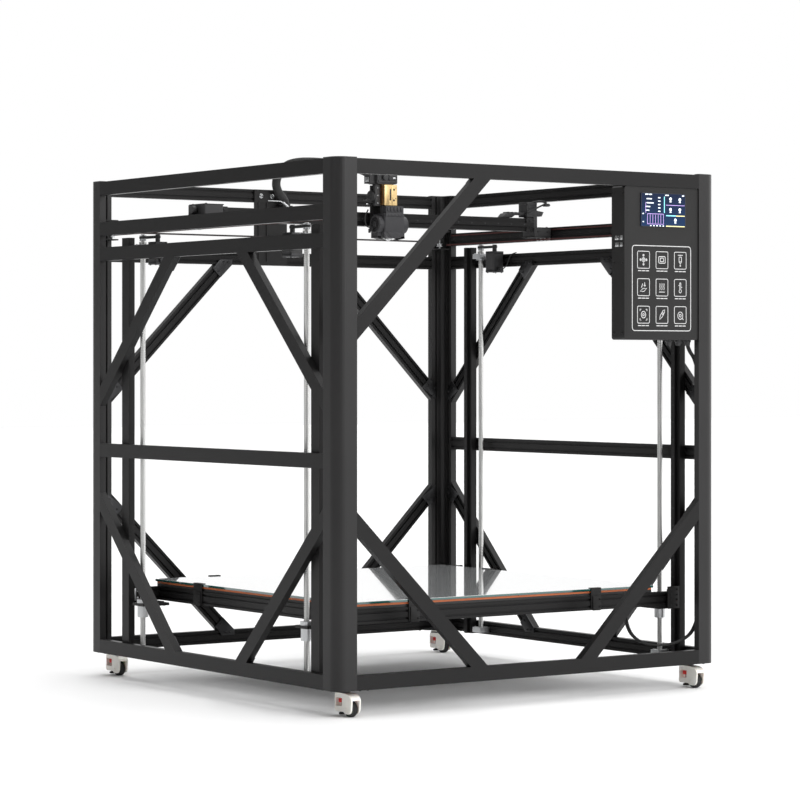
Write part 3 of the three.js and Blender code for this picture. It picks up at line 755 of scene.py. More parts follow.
def make_rail_screws():
    low, high = box("x_beam")
    places = [(x, low.y, (low.z + high.z) / 2) for x in spaced(low.x + 15, high.x - 15, 50)]
    rail_screws("x_rail_screws", places, (0, -1, 0), "gantry")
    for side, hand in (("left", -1), ("right", 1)):
        low, high = box(f"y_rail_{side}")
        inner = high.x if hand < 0 else low.x
        middle = (low.z + high.z) / 2
        places = [(inner, y, middle) for y in spaced(low.y + 20, high.y - 20, 50)]
        rail_screws(f"y_rail_screws_{side}", places, (-hand, 0, 0), "frame")
    for name, hand, _ in CORNERS:
        low, high = box(f"z_guide_{name}")
        inner = high.x if hand < 0 else low.x
        places = [(inner, (low.y + high.y) / 2, z) for z in spaced(low.z + 15, high.z - 15, 50)]
        rail_screws(f"z_guide_screws_{name}", places, (-hand, 0, 0), "frame")


# ---- Lift drive ----
def threaded_rod(shape, x, y, low, high, crest, root, pitch):
    """A rod with a two-start thread, as a helical surface."""
    sides, per_pitch = 16, 4
    rows = int((high - low) / pitch * per_pitch)
    points = []
    for row in range(rows + 1):
        z = low + (high - low) * row / rows
        for side in range(sides):
            phase = ((z - low) / pitch - 2 * side / sides) % 1
            rise = min(1.0, max(0.0, 2.4 * (1 - abs(2 * phase - 1)) - 0.5))
            radius = root + (crest - root) * (rise if 0 < row < rows else 0)
            angle = 2 * math.pi * side / sides
            points.append((x + radius * math.cos(angle), y + radius * math.sin(angle), z))
    faces = []
    for row in range(rows):
        for side in range(sides):
            after = (side + 1) % sides
            a, b = row * sides, (row + 1) * sides
            faces.append([a + side, a + after, b + after, b + side])
    last = rows * sides
    faces += [list(range(sides))[::-1], list(range(last, last + sides))]
    shape.add(points, faces)


def toothed(shape, x, y, low, high, radius, teeth):
    """A toothed belt pulley between two flanges."""
    outline = []
    for tooth in range(teeth):
        for step, reach in ((0.1, 1), (0.45, 1), (0.55, 0.9), (0.95, 0.9)):
            angle = 2 * math.pi * (tooth + step) / teeth
            outline.append((x + radius * reach * math.cos(angle), y + radius * reach * math.sin(angle)))
    shape.prism(outline, low + 1.2, high - 1.2)
    for base, top in ((low, low + 1.2), (high - 1.2, high)):
        shape.lathe([(0, base), (radius + 1, base), (radius + 1.4, top), (0, top)], (x, y, 0), "z", 24)


def belt_loop(shape, first, second, radii, low, high, thick=1.4):
    """A flat belt round two pulleys that stand apart along Y or nearly so."""
    a, b = Vector(first), Vector(second)
    along = (b - a).normalized()
    across = Vector((-along.y, along.x))
    tilt = math.asin((radii[0] - radii[1]) / (b - a).length)

    def ring(extra):
        points = []
        for centre, radius, sense in ((a, radii[0], -1), (b, radii[1], 1)):
            for step in range(9):
                swing = (TURN + sense * tilt) * (1 - step / 4) if sense > 0 else (TURN - tilt) * (1 - step / 4)
                way = along * (math.cos(swing) * sense) + across * (math.sin(swing) * sense)
                points.append(centre + way * (radius + extra))
        return points

    outer, inner = ring(thick), ring(0.1)
    n = len(outer)
    points = [(*p, z) for z in (low, high) for p in outer + inner]
    faces = []
    for i in range(n):
        j = (i + 1) % n
        faces.append([i, j, 2 * n + j, 2 * n + i])
        faces.append([n + i, n + j, 3 * n + j, 3 * n + i])
        faces.append([i, j, n + j, n + i])
        faces.append([2 * n + i, 2 * n + j, 3 * n + j, 3 * n + i])
    shape.add(points, faces)


def make_lift_drive():
    for name, hand, end in CORNERS:
        low, high = box(f"lead_screw_{name}")
        x, y = (low.x + high.x) / 2, (low.y + high.y) / 2
        rod = Shape()
        threaded_rod(rod, x, y, low.z, high.z - 60, 8, 6.9, 5)
        rod.lathe([(0, -61), (7.9, -61), (7.9, -36), (6, -34), (6, 0), (0, 0)], (x, y, high.z), "z", 24)
        rod.lathe([(8, -29), (11, -29), (11, -22), (8, -22), (7, -26)], (x, y, high.z), "z", 24)
        screw = rod.piece(f"lead_screw_thread_{name}", "screw_steel", f"screw_{name}", "screw_steel")
        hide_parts(f"lead_screw_{name}")
        wheel = Shape()
        toothed(wheel, x, y, high.z - 19, high.z - 3, 9.4, 20)
        wheel.piece(f"screw_pulley_{name}", "cast", f"screw_{name}", "screw_steel")

        low, high = box(f"z_motor_{name}")
        mx = hand * 612
        my = SCREW_MIDDLE + end * 360
        belt = Shape()
        belt_loop(belt, (x, y), (mx, my), (9.6, 7.2), high.z - 10, high.z - 3)
        belt.piece(f"z_belt_{name}", "rubber", "frame", "black_plastic")
        trim = Shape()
        for base, top in ((low.z - 0.6, low.z + 8), (1213 + BASE - 8, 1213 + BASE + 0.6)):
            trim.prism(rounded(mx - 21.4, my - 21.4, mx + 21.4, my + 21.4, 4.5), base, top, "xy", 0.6)
        for a in (-15.5, 15.5):
            for b in (-15.5, 15.5):
                trim.screw((mx + a, my + b, low.z - 0.6), (0, 0, -1), 2.8, 2)
        trim.block((mx - 8, my + end * -21, low.z + 8), (mx + 8, my + end * -27, low.z + 16), 0.8)
        trim.piece(f"z_motor_bells_{name}", "dark_steel", "frame", "motor_black")
        bright = Shape()
        bright.lathe([(8.2, 0), (15, 0), (16, -2), (16, -4), (8.2, -4)], (x, y, 1192 + BASE), "z", 28)
        for a in (-13, 13):
            bright.screw((x + a, y - 13, 1208 + BASE), (0, 0, 1), 2.8, 2)
            bright.screw((x + a, y + 13, 1208 + BASE), (0, 0, 1), 2.8, 2)
            bright.screw((x + a, y + 13, BASE + 24), (0, 0, 1), 2.8, 2)
            bright.screw((x + a, y - 13, BASE + 24), (0, 0, 1), 2.8, 2)
        bright.piece(f"screw_bearing_trim_{name}", "cast", "frame", "screw_steel")
        edge = my - end * 24
        wire = [(mx, edge, low.z + 11), (mx, edge - end * 10, low.z + 6)]
        wire += [(mx + hand * 10, edge - end * 24, low.z + 20)]
        wire += [(mx + hand * 20, edge - end * 34, low.z + 52), (mx + hand * 22, edge - end * 60, low.z + 60)]
        Shape().tube(curve_through(wire), 1.6, 8).piece(f"z_motor_lead_{name}", "rubber", "frame", "cable_sleeve")


# ---- Bed ----
def make_bed_fittings():
    glass_low, glass_high = box("bed_glass")
    beam_low = 160 + BASE
    clip_tops = glass_high.z

    def clip(shape, centre, across, out):
        """A bent clip over the glass edge and down the beam. out points away from the bed."""
        side = Vector((-out.y, out.x, 0))
        half = across / 2

        def slab(near, far, low, high, width=half):
            a = centre + out * near - side * width
            b = centre + out * far + side * width
            lows = (min(a.x, b.x), min(a.y, b.y), low)
            highs = (max(a.x, b.x), max(a.y, b.y), high)
            shape.block(lows, highs, 0.5)

        slab(-10, 4, clip_tops + 0.2, clip_tops + 2.4)
        slab(0.6, 4, beam_low + 2, clip_tops + 1.2)
        slab(4, 7.5, beam_low - 1, beam_low + 41, half - 4)
        for z in (beam_low + 9, beam_low + 31):
            shape.screw(centre + out * 7.5 + side * half * 0.55 + Vector((0, 0, z)), out, 3.4, 2)

    spots = []
    for x in (-322, 311):
        spots.append((Vector((x, glass_low.y, 0)), Vector((0, -1, 0)), "front"))
        spots.append((Vector((x, glass_high.y, 0)), Vector((0, 1, 0)), "rear"))
    spots.append((Vector((glass_low.x, 250, 0)), Vector((-1, 0, 0)), "left"))
    spots.append((Vector((glass_high.x, 250, 0)), Vector((1, 0, 0)), "right"))
    for index, (centre, out, side) in enumerate(spots):
        shape = Shape()
        clip(shape, centre, 36 if out.x == 0 else 46, out)
        shape.piece(f"bed_clip_{side}_{index}", "sheet", "bed", "black_sheet")

    for name, hand, end in CORNERS:
        x = hand * (HALF_WIDTH - THICK)
        y = SCREW_MIDDLE + end * 508
        shape = Shape(Matrix.Translation((x, y, 0)) @ Matrix.Diagonal((hand, end, 1, 1)))
        for low_y, high_y in ((-14.5, -6.8), (6.8, 14.5)):
            shape.block((-28.5, low_y, 232), (-20.7, high_y, 268), 0.6)
        shape.piece(f"guide_carriage_{name}", "cast", "bed", "screw_steel")
        screws = Shape(Matrix.Translation((x, y, 0)) @ Matrix.Diagonal((hand, end, 1, 1)))
        for z in (234, 246, 256, 266):
            screws.screw((-39.4, 12.5, z), (-1, 0, 0), 2.2, 1.6)
        for z in (240, 260):
            screws.screw((-33, 15, z), (0, 1, 0), 3.2, 2)
            screws.screw((-33, -15, z), (0, -1, 0), 3.2, 2)
        for a in (-50, -80):
            for b in (-90, -52, 8):
                screws.screw((a, b, 221), (0, 0, -1), 3.4, 2)
        screws.piece(f"bed_corner_screws_{name}", "steel", "bed", "screw_steel")

    for name, hand, end in CORNERS:
        face = SCREW_MIDDLE + end * (508 + THICK)
        plate = Shape(Matrix.Translation((0, face, 0)) @ Matrix.Diagonal((hand, end, 1, 1)))
        plate.block((568, 0.2, 222), (611, 4.6, 286), 0.8)
        for a in (577, 602):
            for z in (231, 247, 262, 277):
                plate.screw((a, 4.6, z), (0, 1, 0), 3.2, 2)
        plate.piece(f"bed_end_plate_{name}", "sheet", "bed", "black_sheet")

    gland = Shape().lathe([(0, 0), (9, 0), (9, -6), (7, -8), (6.6, -20), (0, -20)], (430, -533, 230), "z", 24)
    gland.piece("bed_cable_gland", "plastic", "bed", "black_plastic")


# ---- Gantry ----
def make_gantry_fittings():
    _, high = box("x_beam")
    y = (box("truck_left")[0].y + box("truck_left")[1].y) / 2
    inner = 562
    outer = -box("truck_left")[0].x
    for side, hand in (("left", -1), ("right", 1)):
        turn = Matrix.Translation((0, y, 0)) @ Matrix.Diagonal((hand, 1, 1, 1))
        plate = Shape(turn)
        reach = 45 if hand < 0 else 31
        low_plate = rounded(inner - 4, -reach - 2, outer - 1, reach + 2, 8)
        plate.prism(low_plate, 1246.6 + BASE, 1248.8 + BASE, "xy", 0.5)
        near, top = (inner - 4, 1310) if hand < 0 else (580, 1276)
        high_plate = rounded(near, 1 - reach, outer - 1, reach - 1, 6)
        plate.prism(high_plate, top + BASE + 0.2, top + BASE + 2.4, "xy", 0.5)
        plate.block((inner - 26, -24, 1263 + BASE), (inner - 0.4, -20.4, 1307 + BASE), 0.6)
        plate.piece(f"truck_plate_{side}", "sheet", "gantry", "black_sheet")
        screws = Shape(turn)
        for a in (inner + 8, outer - 12):
            for b in (9 - reach, reach - 9):
                screws.screw((a, b, 1246.6 + BASE), (0, 0, -1), 3.4, 2)
                screws.screw((outer - 12, b, top + BASE + 2.4), (0, 0, 1), 3.4, 2)
        for z in (1272, 1298):
            screws.screw((inner - 14, -24, z + BASE), (0, -1, 0), 3.2, 2)
        for a in (inner + 14, inner + 50):
            screws.screw((a, -reach, 1265 + BASE), (0, -1, 0), 3.2, 2)
        screws.piece(f"truck_screws_{side}", "dark_steel", "gantry", "extrusion")
        idlers = Shape(turn)
        for a, b in ((621, -8), (624, -22)):
            profile = [(0, 0), (5.2, 0), (5.2, 1.2), (4.2, 1.8), (4.2, 5.6), (5.2, 6.2), (5.2, 7.6), (0, 7.6)]
            idlers.lathe(profile, (a, b, 1238.8 + BASE), "z", 20)
        for b in (12, 30):
            idlers.lathe([(0, 0), (3.4, 0), (4.2, 1), (4.2, 7), (0, 7)], (621, b, 1239.4 + BASE), "z", 16)
        idlers.piece(f"truck_idlers_{side}", "cast", "gantry", "screw_steel")

    knob = Shape()
    grip = [(0, 0), (10, 0), (13, -2)]
    knob.lathe(grip + [(13, -12), (11, -14), (0, -14)], (-630, y, 1295 + BASE), "x", 10)
    knob.lathe([(0, 8), (5, 8), (5, -1), (0, -1)], (-630, y, 1295 + BASE), "x", 16)
    knob.piece("belt_tension_knob", "plastic", "gantry", "black_plastic")

    roof = box("truck_right")[1].z
    cover = Shape()
    cover.prism(rounded(538.6, y - 22.4, 579.4, y + 22.4, 4), roof - 7, roof + 1.4, "xy", 0.8)
    for z in (1319, 1328, 1337):
        cover.block((545, y - 22.2, z + BASE - 1.6), (573, y - 20.8, z + BASE + 1.6), 0.4)
    flange = [(577, 1312), (598, 1312), (606, 1326), (577, 1330)]
    cover.prism([(x, z + BASE) for x, z in flange], y - 20, y + 8, "xz", 0.8)
    cover.piece("terminal_box_cover", "plastic", "gantry", "black_plastic")
    duct = Shape()
    line = [(452, 1.4), (463, 13), (470, 15), (541, 18), (541, 11), (500, 9), (488, 1.4)]
    duct.prism([(a, high.z + b) for a, b in line], y - 14, y + 14, "xz", 0.8)
    for a in (476, 490, 504, 518, 532):
        duct.block((a - 1.4, y - 15, high.z + 10), (a + 1.4, y + 15, high.z + 18.6), 0.4)
    duct.piece("beam_cable_duct", "plastic", "gantry", "black_plastic")
    leads = [
        [(536, 70, 1322), (552, 66, 1328), (576, 62, 1340), (598, 60, 1349)],
        [(560, 76, 1354), (578, 70, 1358), (594, 64, 1356), (604, 62, 1351)],
        [(572, 84, 1354), (590, 78, 1360), (604, 70, 1358), (610, 66, 1352)],
    ]
    for index, route in enumerate(leads):
        line = curve_through([(a, b, c + BASE) for a, b, c in route])
        Shape().tube(line, 2.6, 10).piece(f"terminal_lead_{index}", "rubber", "gantry", "cable_sleeve")
    plug = Shape()
    plug.block((596, 55, 1342 + BASE), (613, 68, 1351 + BASE), 1.0)
    plug.block((611, 57, 1344 + BASE), (617, 66, 1349 + BASE), 0.6)
    plug.piece("terminal_plug", "plastic", "gantry", "black_plastic")


def belt_run(name, low, high, finish="belt_edge"):
    """A flat toothed belt: smooth back, with its teeth on one face along the longer side."""
    shape = Shape()
    axis = 0 if high[0] - low[0] > high[1] - low[1] else 1
    shape.block(low, high, 0.0)
    count = int((high[axis] - low[axis]) / 12)
    for tooth in range(count):
        a, b = list(low), list(high)
        a[axis] = low[axis] + 12 * tooth + 3
        b[axis] = a[axis] + 6
        other = 1 - axis
        b[other] = a[other]
        a[other] -= 0.7
        shape.block(a, b, 0.0)
    shape.piece(name, finish, "frame", "black_plastic")


def make_belts():
    reach = HALF_DEPTH - ARM - 6
    for side, hand in (("left", -1), ("right", 1)):
        for level, x in ((1240.5, 612.4), (1271, 631.4)):
            edges = sorted((hand * x, hand * (x + 1.4)))
            low, high = (edges[0], -reach, level + BASE), (edges[1], reach, level + 4 + BASE)
            belt_run(f"gantry_belt_{side}_{int(level)}", low, high)
    belt_run("gantry_belt_rear", (-600, 616, 1250 + BASE), (600, 617.4, 1255 + BASE), "belt")
    for name, hand, end in CORNERS:
        y = end * (HALF_DEPTH - ARM + 20)
        shape = Shape()
        for base in (1237.5, 1267.5):
            profile = [(0, 0), (10, 0), (10, 1.4), (8.4, 1.8), (8.4, 8), (10, 8.4), (10, 9.8), (0, 9.8)]
            shape.lathe(profile, (hand * 604, y, base + BASE), "z", 24)
        shape.lathe([(0, 1232), (3, 1232), (3, 1284), (0, 1284)], (hand * 604, y, BASE), "z", 14)
        shape.piece(f"belt_idler_{name}", "cast", "frame", "screw_steel")
        mount = Shape()
        lows = sorted((hand * 590, hand * (HALF_WIDTH - THICK - 0.4)))
        ends = sorted((y - 16, y + 16))
        mount.block((lows[0], ends[0], 1284 + BASE), (lows[1], ends[1], 1289 + BASE), 0.8)
        mount.block((lows[0], ends[0], 1228 + BASE), (lows[1], ends[1], 1232 + BASE), 0.8)
        mount.piece(f"belt_idler_mount_{name}", "sheet", "frame", "black_sheet")


# ---- Print head ----
def fan_face(shape, x, y, z, hand, radius):
    """A blower's round face: rim, guard ring, hub and curved blades. hand is the way it faces."""
    turn = Matrix.Translation((x, y, z)) @ Matrix.Diagonal((hand, 1, 1, 1))
    kept, shape.turn = shape.turn, shape.turn @ turn
    rim = [(radius - 6, 0), (radius - 0.5, 0), (radius - 0.5, 1.6)]
    rim += [(radius - 2, 3), (radius - 5, 3), (radius - 6, 1.4)]
    shape.lathe(rim, (0, 0, 0), "x", 36)
    shape.lathe([(0, 0), (9, 0), (9, 1.8), (7, 2.8), (0, 3.0)], (0, 0, 0), "x", 24)
    shape.lathe([(15, 1.4), (16.2, 1.4), (16.2, 2.4), (15, 2.4)], (0, 0, 0), "x", 32)
    for blade in range(14):
        start = 2 * math.pi * blade / 14
        outline = []
        for step in range(5):
            angle = start + 0.35 * step / 4
            reach = 9.4 + (radius - 15.6) * step / 4
            outline.append((reach * math.cos(angle), reach * math.sin(angle)))
        for step in range(4, -1, -1):
            angle = start + 0.07 + 0.35 * step / 4
            reach = 9.4 + (radius - 15.6) * step / 4
            outline.append((reach * math.cos(angle), reach * math.sin(angle)))
        shape.prism(outline, 0.1, 1.2, "yz")
    shape.turn = kept


def make_head():
    low, high = box("fan_shroud")
    middle = (low.x + high.x) / 2
    face = -2
    cover = Shape()
    plate = rounded(middle - 33, low.z + 18, middle + 33, 1296 + BASE, 5)
    cover.prism(plate, face - 2, face - 0.1, "xz", 0.8)
    brow = [(-33.5, 1291), (-31, 1301), (31, 1301), (33.5, 1291)]
    cover.prism([(middle + x, z + BASE) for x, z in brow], face - 4.4, face - 2, "xz", 0.8)
    for step in range(5):
        x = -30.5 + 12 * step
        cover.block((x - 3.2, face - 1.2, 1306 + BASE), (x + 3.2, face + 0.9, 1318 + BASE), 0.5)
        cover.block((x - 3.2, face - 5.2, 1293.5 + BASE), (x + 2.0, face - 4.2, 1298 + BASE), 0.3)
    chin = [(-25, 18), (25, 18), (12, 2), (-12, 2)]
    cover.prism([(middle + x, low.z + z) for x, z in chin], face - 1.4, face - 0.1, "xz", 0.6)
    cover.piece("shroud_front_cover", "shroud", "head", "black_plastic")

    fans = Shape()
    y, z = 24, 1268 + BASE
    fan_face(fans, low.x, y, z, -1, 26)
    fan_face(fans, high.x, y, z, 1, 26)
    fans.piece("blower_fans", "plastic", "head", "black_plastic")
    ducts = Shape()
    for hand in (-1, 1):
        x = middle + hand * 42
        outline = [(x - 7, low.z - 0.2), (x + 7, low.z - 0.2)]
        outline += [(middle + hand * 19 + 4, low.z - 5.5), (middle + hand * 19 - 4, low.z - 5.5)]
        ducts.prism(outline, 16, 40, "xz", 0.8)
        ducts.block((x - 7, 14, low.z - 0.4), (x + 7, 44, low.z + 6), 0.8)
    ducts.piece("cooling_ducts", "plastic", "head", "black_plastic")

    low_gold, high_gold = box("heat_sink")
    gx = (low_gold.x + high_gold.x) / 2
    front = low_gold.y
    bolts_and_painted_slot_shade = Shape()
    for z in (low_gold.z + 15, high_gold.z - 14):
        bolts_and_painted_slot_shade.screw((gx + 12, front - 0.2, z), (0, -1, 0), 3.0, 1.2)
        bolts_and_painted_slot_shade.screw((gx + 18.5, front - 0.2, z + 5), (0, -1, 0), 1.5, 0.8)
    # A dark blackened-steel bar set into the slot of the cooler face: painted shade standing in for the shadow deep
    # in the slot, not a real part.
    bolts_and_painted_slot_shade.block((gx - 3.4, front - 0.5, low_gold.z + 15), (gx + 1.8, front + 0.6, high_gold.z - 13), 0.3)
    bolts_and_painted_slot_shade.piece("cooler_screws_and_painted_slot_shade", "dark_steel", "head", "gold_alloy")
    face_plates = Shape()
    face_plates.block((gx - 22, front - 1.6, low_gold.z + 1), (gx - 6, front - 0.1, high_gold.z - 1), 0.7)
    face_plates.block((gx + 4, front - 1.0, low_gold.z + 1), (gx + 8, front - 0.1, high_gold.z - 1), 0.5)
    face_plates.piece("cooler_face", "gold", "head", "gold_alloy")
    tubes = Shape()
    for depth in (9.5, 16.5):
        place = (low_gold.x + 3.4, front + depth, low_gold.z)
        tubes.lathe([(0, 3), (1.6, 3), (1.6, 57), (0, 57)], place, "z", 12)
    tubes.piece("cooler_pipes", "copper", "head", "gold_alloy")

    drive = Shape()
    rim = [(0, 0), (17, 0), (17, -1.5), (14.6, -3), (9, -3), (8, -1.6), (0, -1.6)]
    drive.lathe(rim, (-67, 38, 1349 + BASE), "x", 28)
    for a, b in ((-12, 0), (12, 0), (0, 12), (0, -12)):
        drive.screw((-69.9, 38 + a, 1349 + BASE + b), (-1, 0, 0), 2.0, 1.2)
    drive.lathe([(0, 0), (9, 0), (10, -2), (10, -6), (8, -8), (0, -8)], (-36, 8, 1406 + BASE), "y", 20)
    drive.block((-58, 5.6, 1390 + BASE), (4, 8, 1396 + BASE), 0.8)
    drive.prism(rounded(-22, 1396 + BASE, 4, 1420 + BASE, 4), 4.5, 8, "xz", 0.8)
    drive.block((-62, 19, 1322 + BASE), (-44, 27, 1385.6 + BASE), 0.8)
    drive.block((-40, 14, 1288 + BASE), (-17, 27.6, 1323.4 + BASE), 0.8)
    drive.piece("extruder_details", "plastic", "head", "black_plastic")
    plug = Shape()
    plug.block((-79, 26, 1392 + BASE), (-81, 44, 1406 + BASE), 0.4)
    plug.lathe([(0, 0), (4, 0), (4, 9), (2.5, 10), (0, 10)], (0, 34, 1423 + BASE), "z", 16)
    plug.block((-8, 3.4, 1401 + BASE), (0, 4.6, 1406 + BASE), 0.3)
    for z in (1330, 1352, 1374):
        plug.screw((-53, 19, z + BASE), (0, -1, 0), 2.2, 1.2)
    plug.block((-76, 44, 1326 + BASE), (-62, 47, 1330 + BASE), 0.5)
    plug.piece("head_connectors", "steel", "head", "screw_steel")
    sock = Shape()
    profile = [(0, -1), (2.4, -1), (10.5, 3.2), (11.5, 4.4), (11.5, 6.4), (0, 6.4)]
    sock.lathe(profile, (middle, 28, 1221.2 + BASE), "z", 24)
    sock.piece("nozzle_sock", "silver_silicone", "head", "black_plastic")
    bits = Shape()
    bits.block((low.x - 9, 30, 1247 + BASE), (low.x + 1, 42, 1261 + BASE), 0.8)
    bits.lathe([(0, 0), (3, 0), (3.6, 2), (3.6, 12), (0, 12)], (low.x - 12, 36, 1243 + BASE), "z", 14)
    bits.screw((low.x - 9, 36, 1257 + BASE), (-1, 0, 0), 2.6, 2)
    bits.piece("bed_probe", "plastic", "head", "black_plastic")
    route = [(-66, 40, 1258), (-76, 46, 1266), (-74, 54, 1290), (-62, 56, 1312)]
    line = curve_through([(a, b, c + BASE) for a, b, c in route])
    Shape().tube(line, 2.0, 8).piece("head_lead", "rubber", "head", "cable_sleeve")
    rear = 57.1
    collar = Shape()
    profile = [(13.9, 0.4), (16.4, 0.4), (17, 2), (16.4, 8), (13.9, 8)]
    collar.lathe(profile, (-14, rear, 1475), "y", 28)
    collar.piece("harness_head_collar", "plastic", "head", "black_plastic")


# ---- Control box ----
def ribbon(shape, points, width, face, closed=False, depth=0.3):
    """A printed line: a thin strip along points (x, z) on a face at y = face."""
    count = len(points)
    sides = []
    for index, (x, z) in enumerate(points):
        before = points[index - 1] if closed or index else points[index]
        after = points[(index + 1) % count] if closed or index < count - 1 else points[index]
        dx, dz = after[0] - before[0], after[1] - before[1]
        size = math.hypot(dx, dz) or 1
        sides.append((-dz / size * width / 2, dx / size * width / 2))
    rings = []
    for y in (face - depth, face - 0.02):
        for sign in (1, -1):
            rings.append([(x + sign * a, y, z + sign * b) for (x, z), (a, b) in zip(points, sides)])
    flat = [p for ring in rings for p in ring]
    faces = []
    for i in range(count if closed else count - 1):
        j = (i + 1) % count
        for a, b in ((0, 1), (1, 3), (3, 2), (2, 0)):
            faces.append([a * count + i, a * count + j, b * count + j, b * count + i])
    if not closed:
        for i in (0, count - 1):
            faces.append([i, count + i, 3 * count + i, 2 * count + i])
    shape.add(flat, faces)


def circle(x, z, radius, steps=14):
    return arc(x, z, radius, 0, 4 - 4 / steps, steps - 1)


def glyphs():
    """Nine plain pictures, each a list of (points, closed) strokes in a square from -1 to 1."""
    wavy = [[(x + 0.12 * math.sin(3 * t), 0.7 - 0.28 * t) for t in range(5)] for x in (-0.5, 0, 0.5)]
    cross = [([(-0.8, 0), (0.8, 0)], False), ([(0, -0.9), (0, 0.9)], False), (circle(0, 0, 0.35), True)]
    tips = [(circle(a, b, 0.16, 8), True) for a, b in ((0.7, 0), (-0.7, 0), (0, 0.75), (0, -0.75))]
    monitor = [(rounded(-0.8, -0.5, 0.8, 0.6, 0.15, 2), True), (rounded(-0.4, -0.25, 0.4, 0.35, 0.1, 2), True)]
    nozzle = [([(-0.6, 0.9), (0.6, 0.9)], False), (rounded(-0.3, -0.2, 0.3, 0.6, 0.1, 2), True)]
    nozzle += [([(-0.3, -0.2), (0, -0.6), (0.3, -0.2)], False), (circle(0, -0.85, 0.1, 6), True)]
    level = [([(-0.8, -0.7), (0.1, -0.7), (0.8, -0.2), (-0.1, -0.2)], True), ([(-0.5, -0.1), (-0.2, 0.6)], False)]
    level += [([(0.3, 0.1), (0.3, 0.8)], False), ([(0.05, 0.35), (0.3, 0.1), (0.55, 0.35)], False)]
    heat = [(line, False) for line in wavy] + [([(-0.7, -0.75), (0.7, -0.75)], False)]
    probe = [(circle(0, -0.55, 0.28), True), (rounded(-0.14, -0.3, 0.14, 0.85, 0.12, 2), True)]
    probe += [([(-0.45, 0.4), (-0.14, 0.4)], False), ([(0.14, 0.1), (0.45, 0.1)], False)]
    target = [(circle(0, 0, 0.55), True), (circle(0, 0, 0.2, 8), True)]
    for a, b in ((-1, -1), (-1, 1), (1, -1), (1, 1)):
        target.append(([(a * 0.55, b * 0.9), (a * 0.85, b * 0.9), (a * 0.85, b * 0.6)], False))
    leaf = [([(-0.6, -0.8), (-0.4, -0.1), (0.3, 0.75), (0.65, 0.85), (0.6, 0.4), (0, -0.4)], True)]
    leaf += [(circle(0.15, 0.25, 0.16, 8), True)]
    spool = [(circle(0, -0.1, 0.62), True), (circle(0, -0.1, 0.25, 8), True), ([(0.5, -0.5), (0.75, -0.8)], False)]
    return [cross + tips, monitor, nozzle, level, heat, probe, target, leaf, spool]


def make_control_box():
    low, high = box("control_box")
    face = low.y
    print_shape = Shape()
    ribbon(print_shape, rounded(347, 953 + BASE, 563, 1193 + BASE, 9, 4), 2.2, face, True)
    pictures = glyphs()
    for row in range(3):
        for column in range(3):
            x, z = 388 + 68 * column, 1153 + BASE - 77.5 * row
            ribbon(print_shape, rounded(x - 22, z - 24, x + 22, z + 24, 4, 3), 1.8, face, True)
            for points, closed in pictures[3 * row + column]:
                ribbon(print_shape, [(x + 15 * a, z + 17 * b) for a, b in points], 2.0, face, closed)
            for part in range(3):
                start = x - 20 + 14 * part
                ribbon(print_shape, [(start, z - 31), (start + 12, z - 31)], 2.4, face)
    print_shape.piece("icon_print", "print", "frame", "black_sheet")

    side = low.x
    ports = Shape()
    for y, width in ((-648, 11), (-629, 15)):
        for z in (1214, 1195):
            ports.block((side - 1.6, y - width / 2, z + BASE - 6), (side, y + width / 2, z + BASE + 6), 0.5)
    ports.piece("side_sockets", "steel", "frame", "screw_steel")
    seams = Shape()
    seams.block((side + 8, face - 0.25, low.z + 8), (side + 8.8, face + 0.05, high.z - 8), 0)
    for z in (low.z + 20, (low.z + high.z) / 2, high.z - 20):
        seams.screw((side, low.y + 10, z), (-1, 0, 0), 3.2, 1.8)
        seams.screw((side, high.y - 10, z), (-1, 0, 0), 3.2, 1.8)
    for step in range(12):
        z = low.z + 60 + 12 * step
        seams.block((low.x + 60, high.y, z), (high.x - 60, high.y + 1.4, z + 5), 0.5)
    for x in (low.x + 16, high.x - 16):
        for z in (low.z + 16, high.z - 16):
            seams.screw((x, high.y, z), (0, 1, 0), 3.4, 2)
    seams.piece("control_box_trim", "sheet", "frame", "black_sheet")
    glands = Shape()
    for x in (575, 540, 505):
        glands.lathe([(0, 0.4), (10, 0.4), (10, -5), (8, -7), (7, -16), (0, -16)], (x, -634, low.z), "z", 20)
    glands.piece("control_box_glands", "plastic", "frame", "black_plastic")


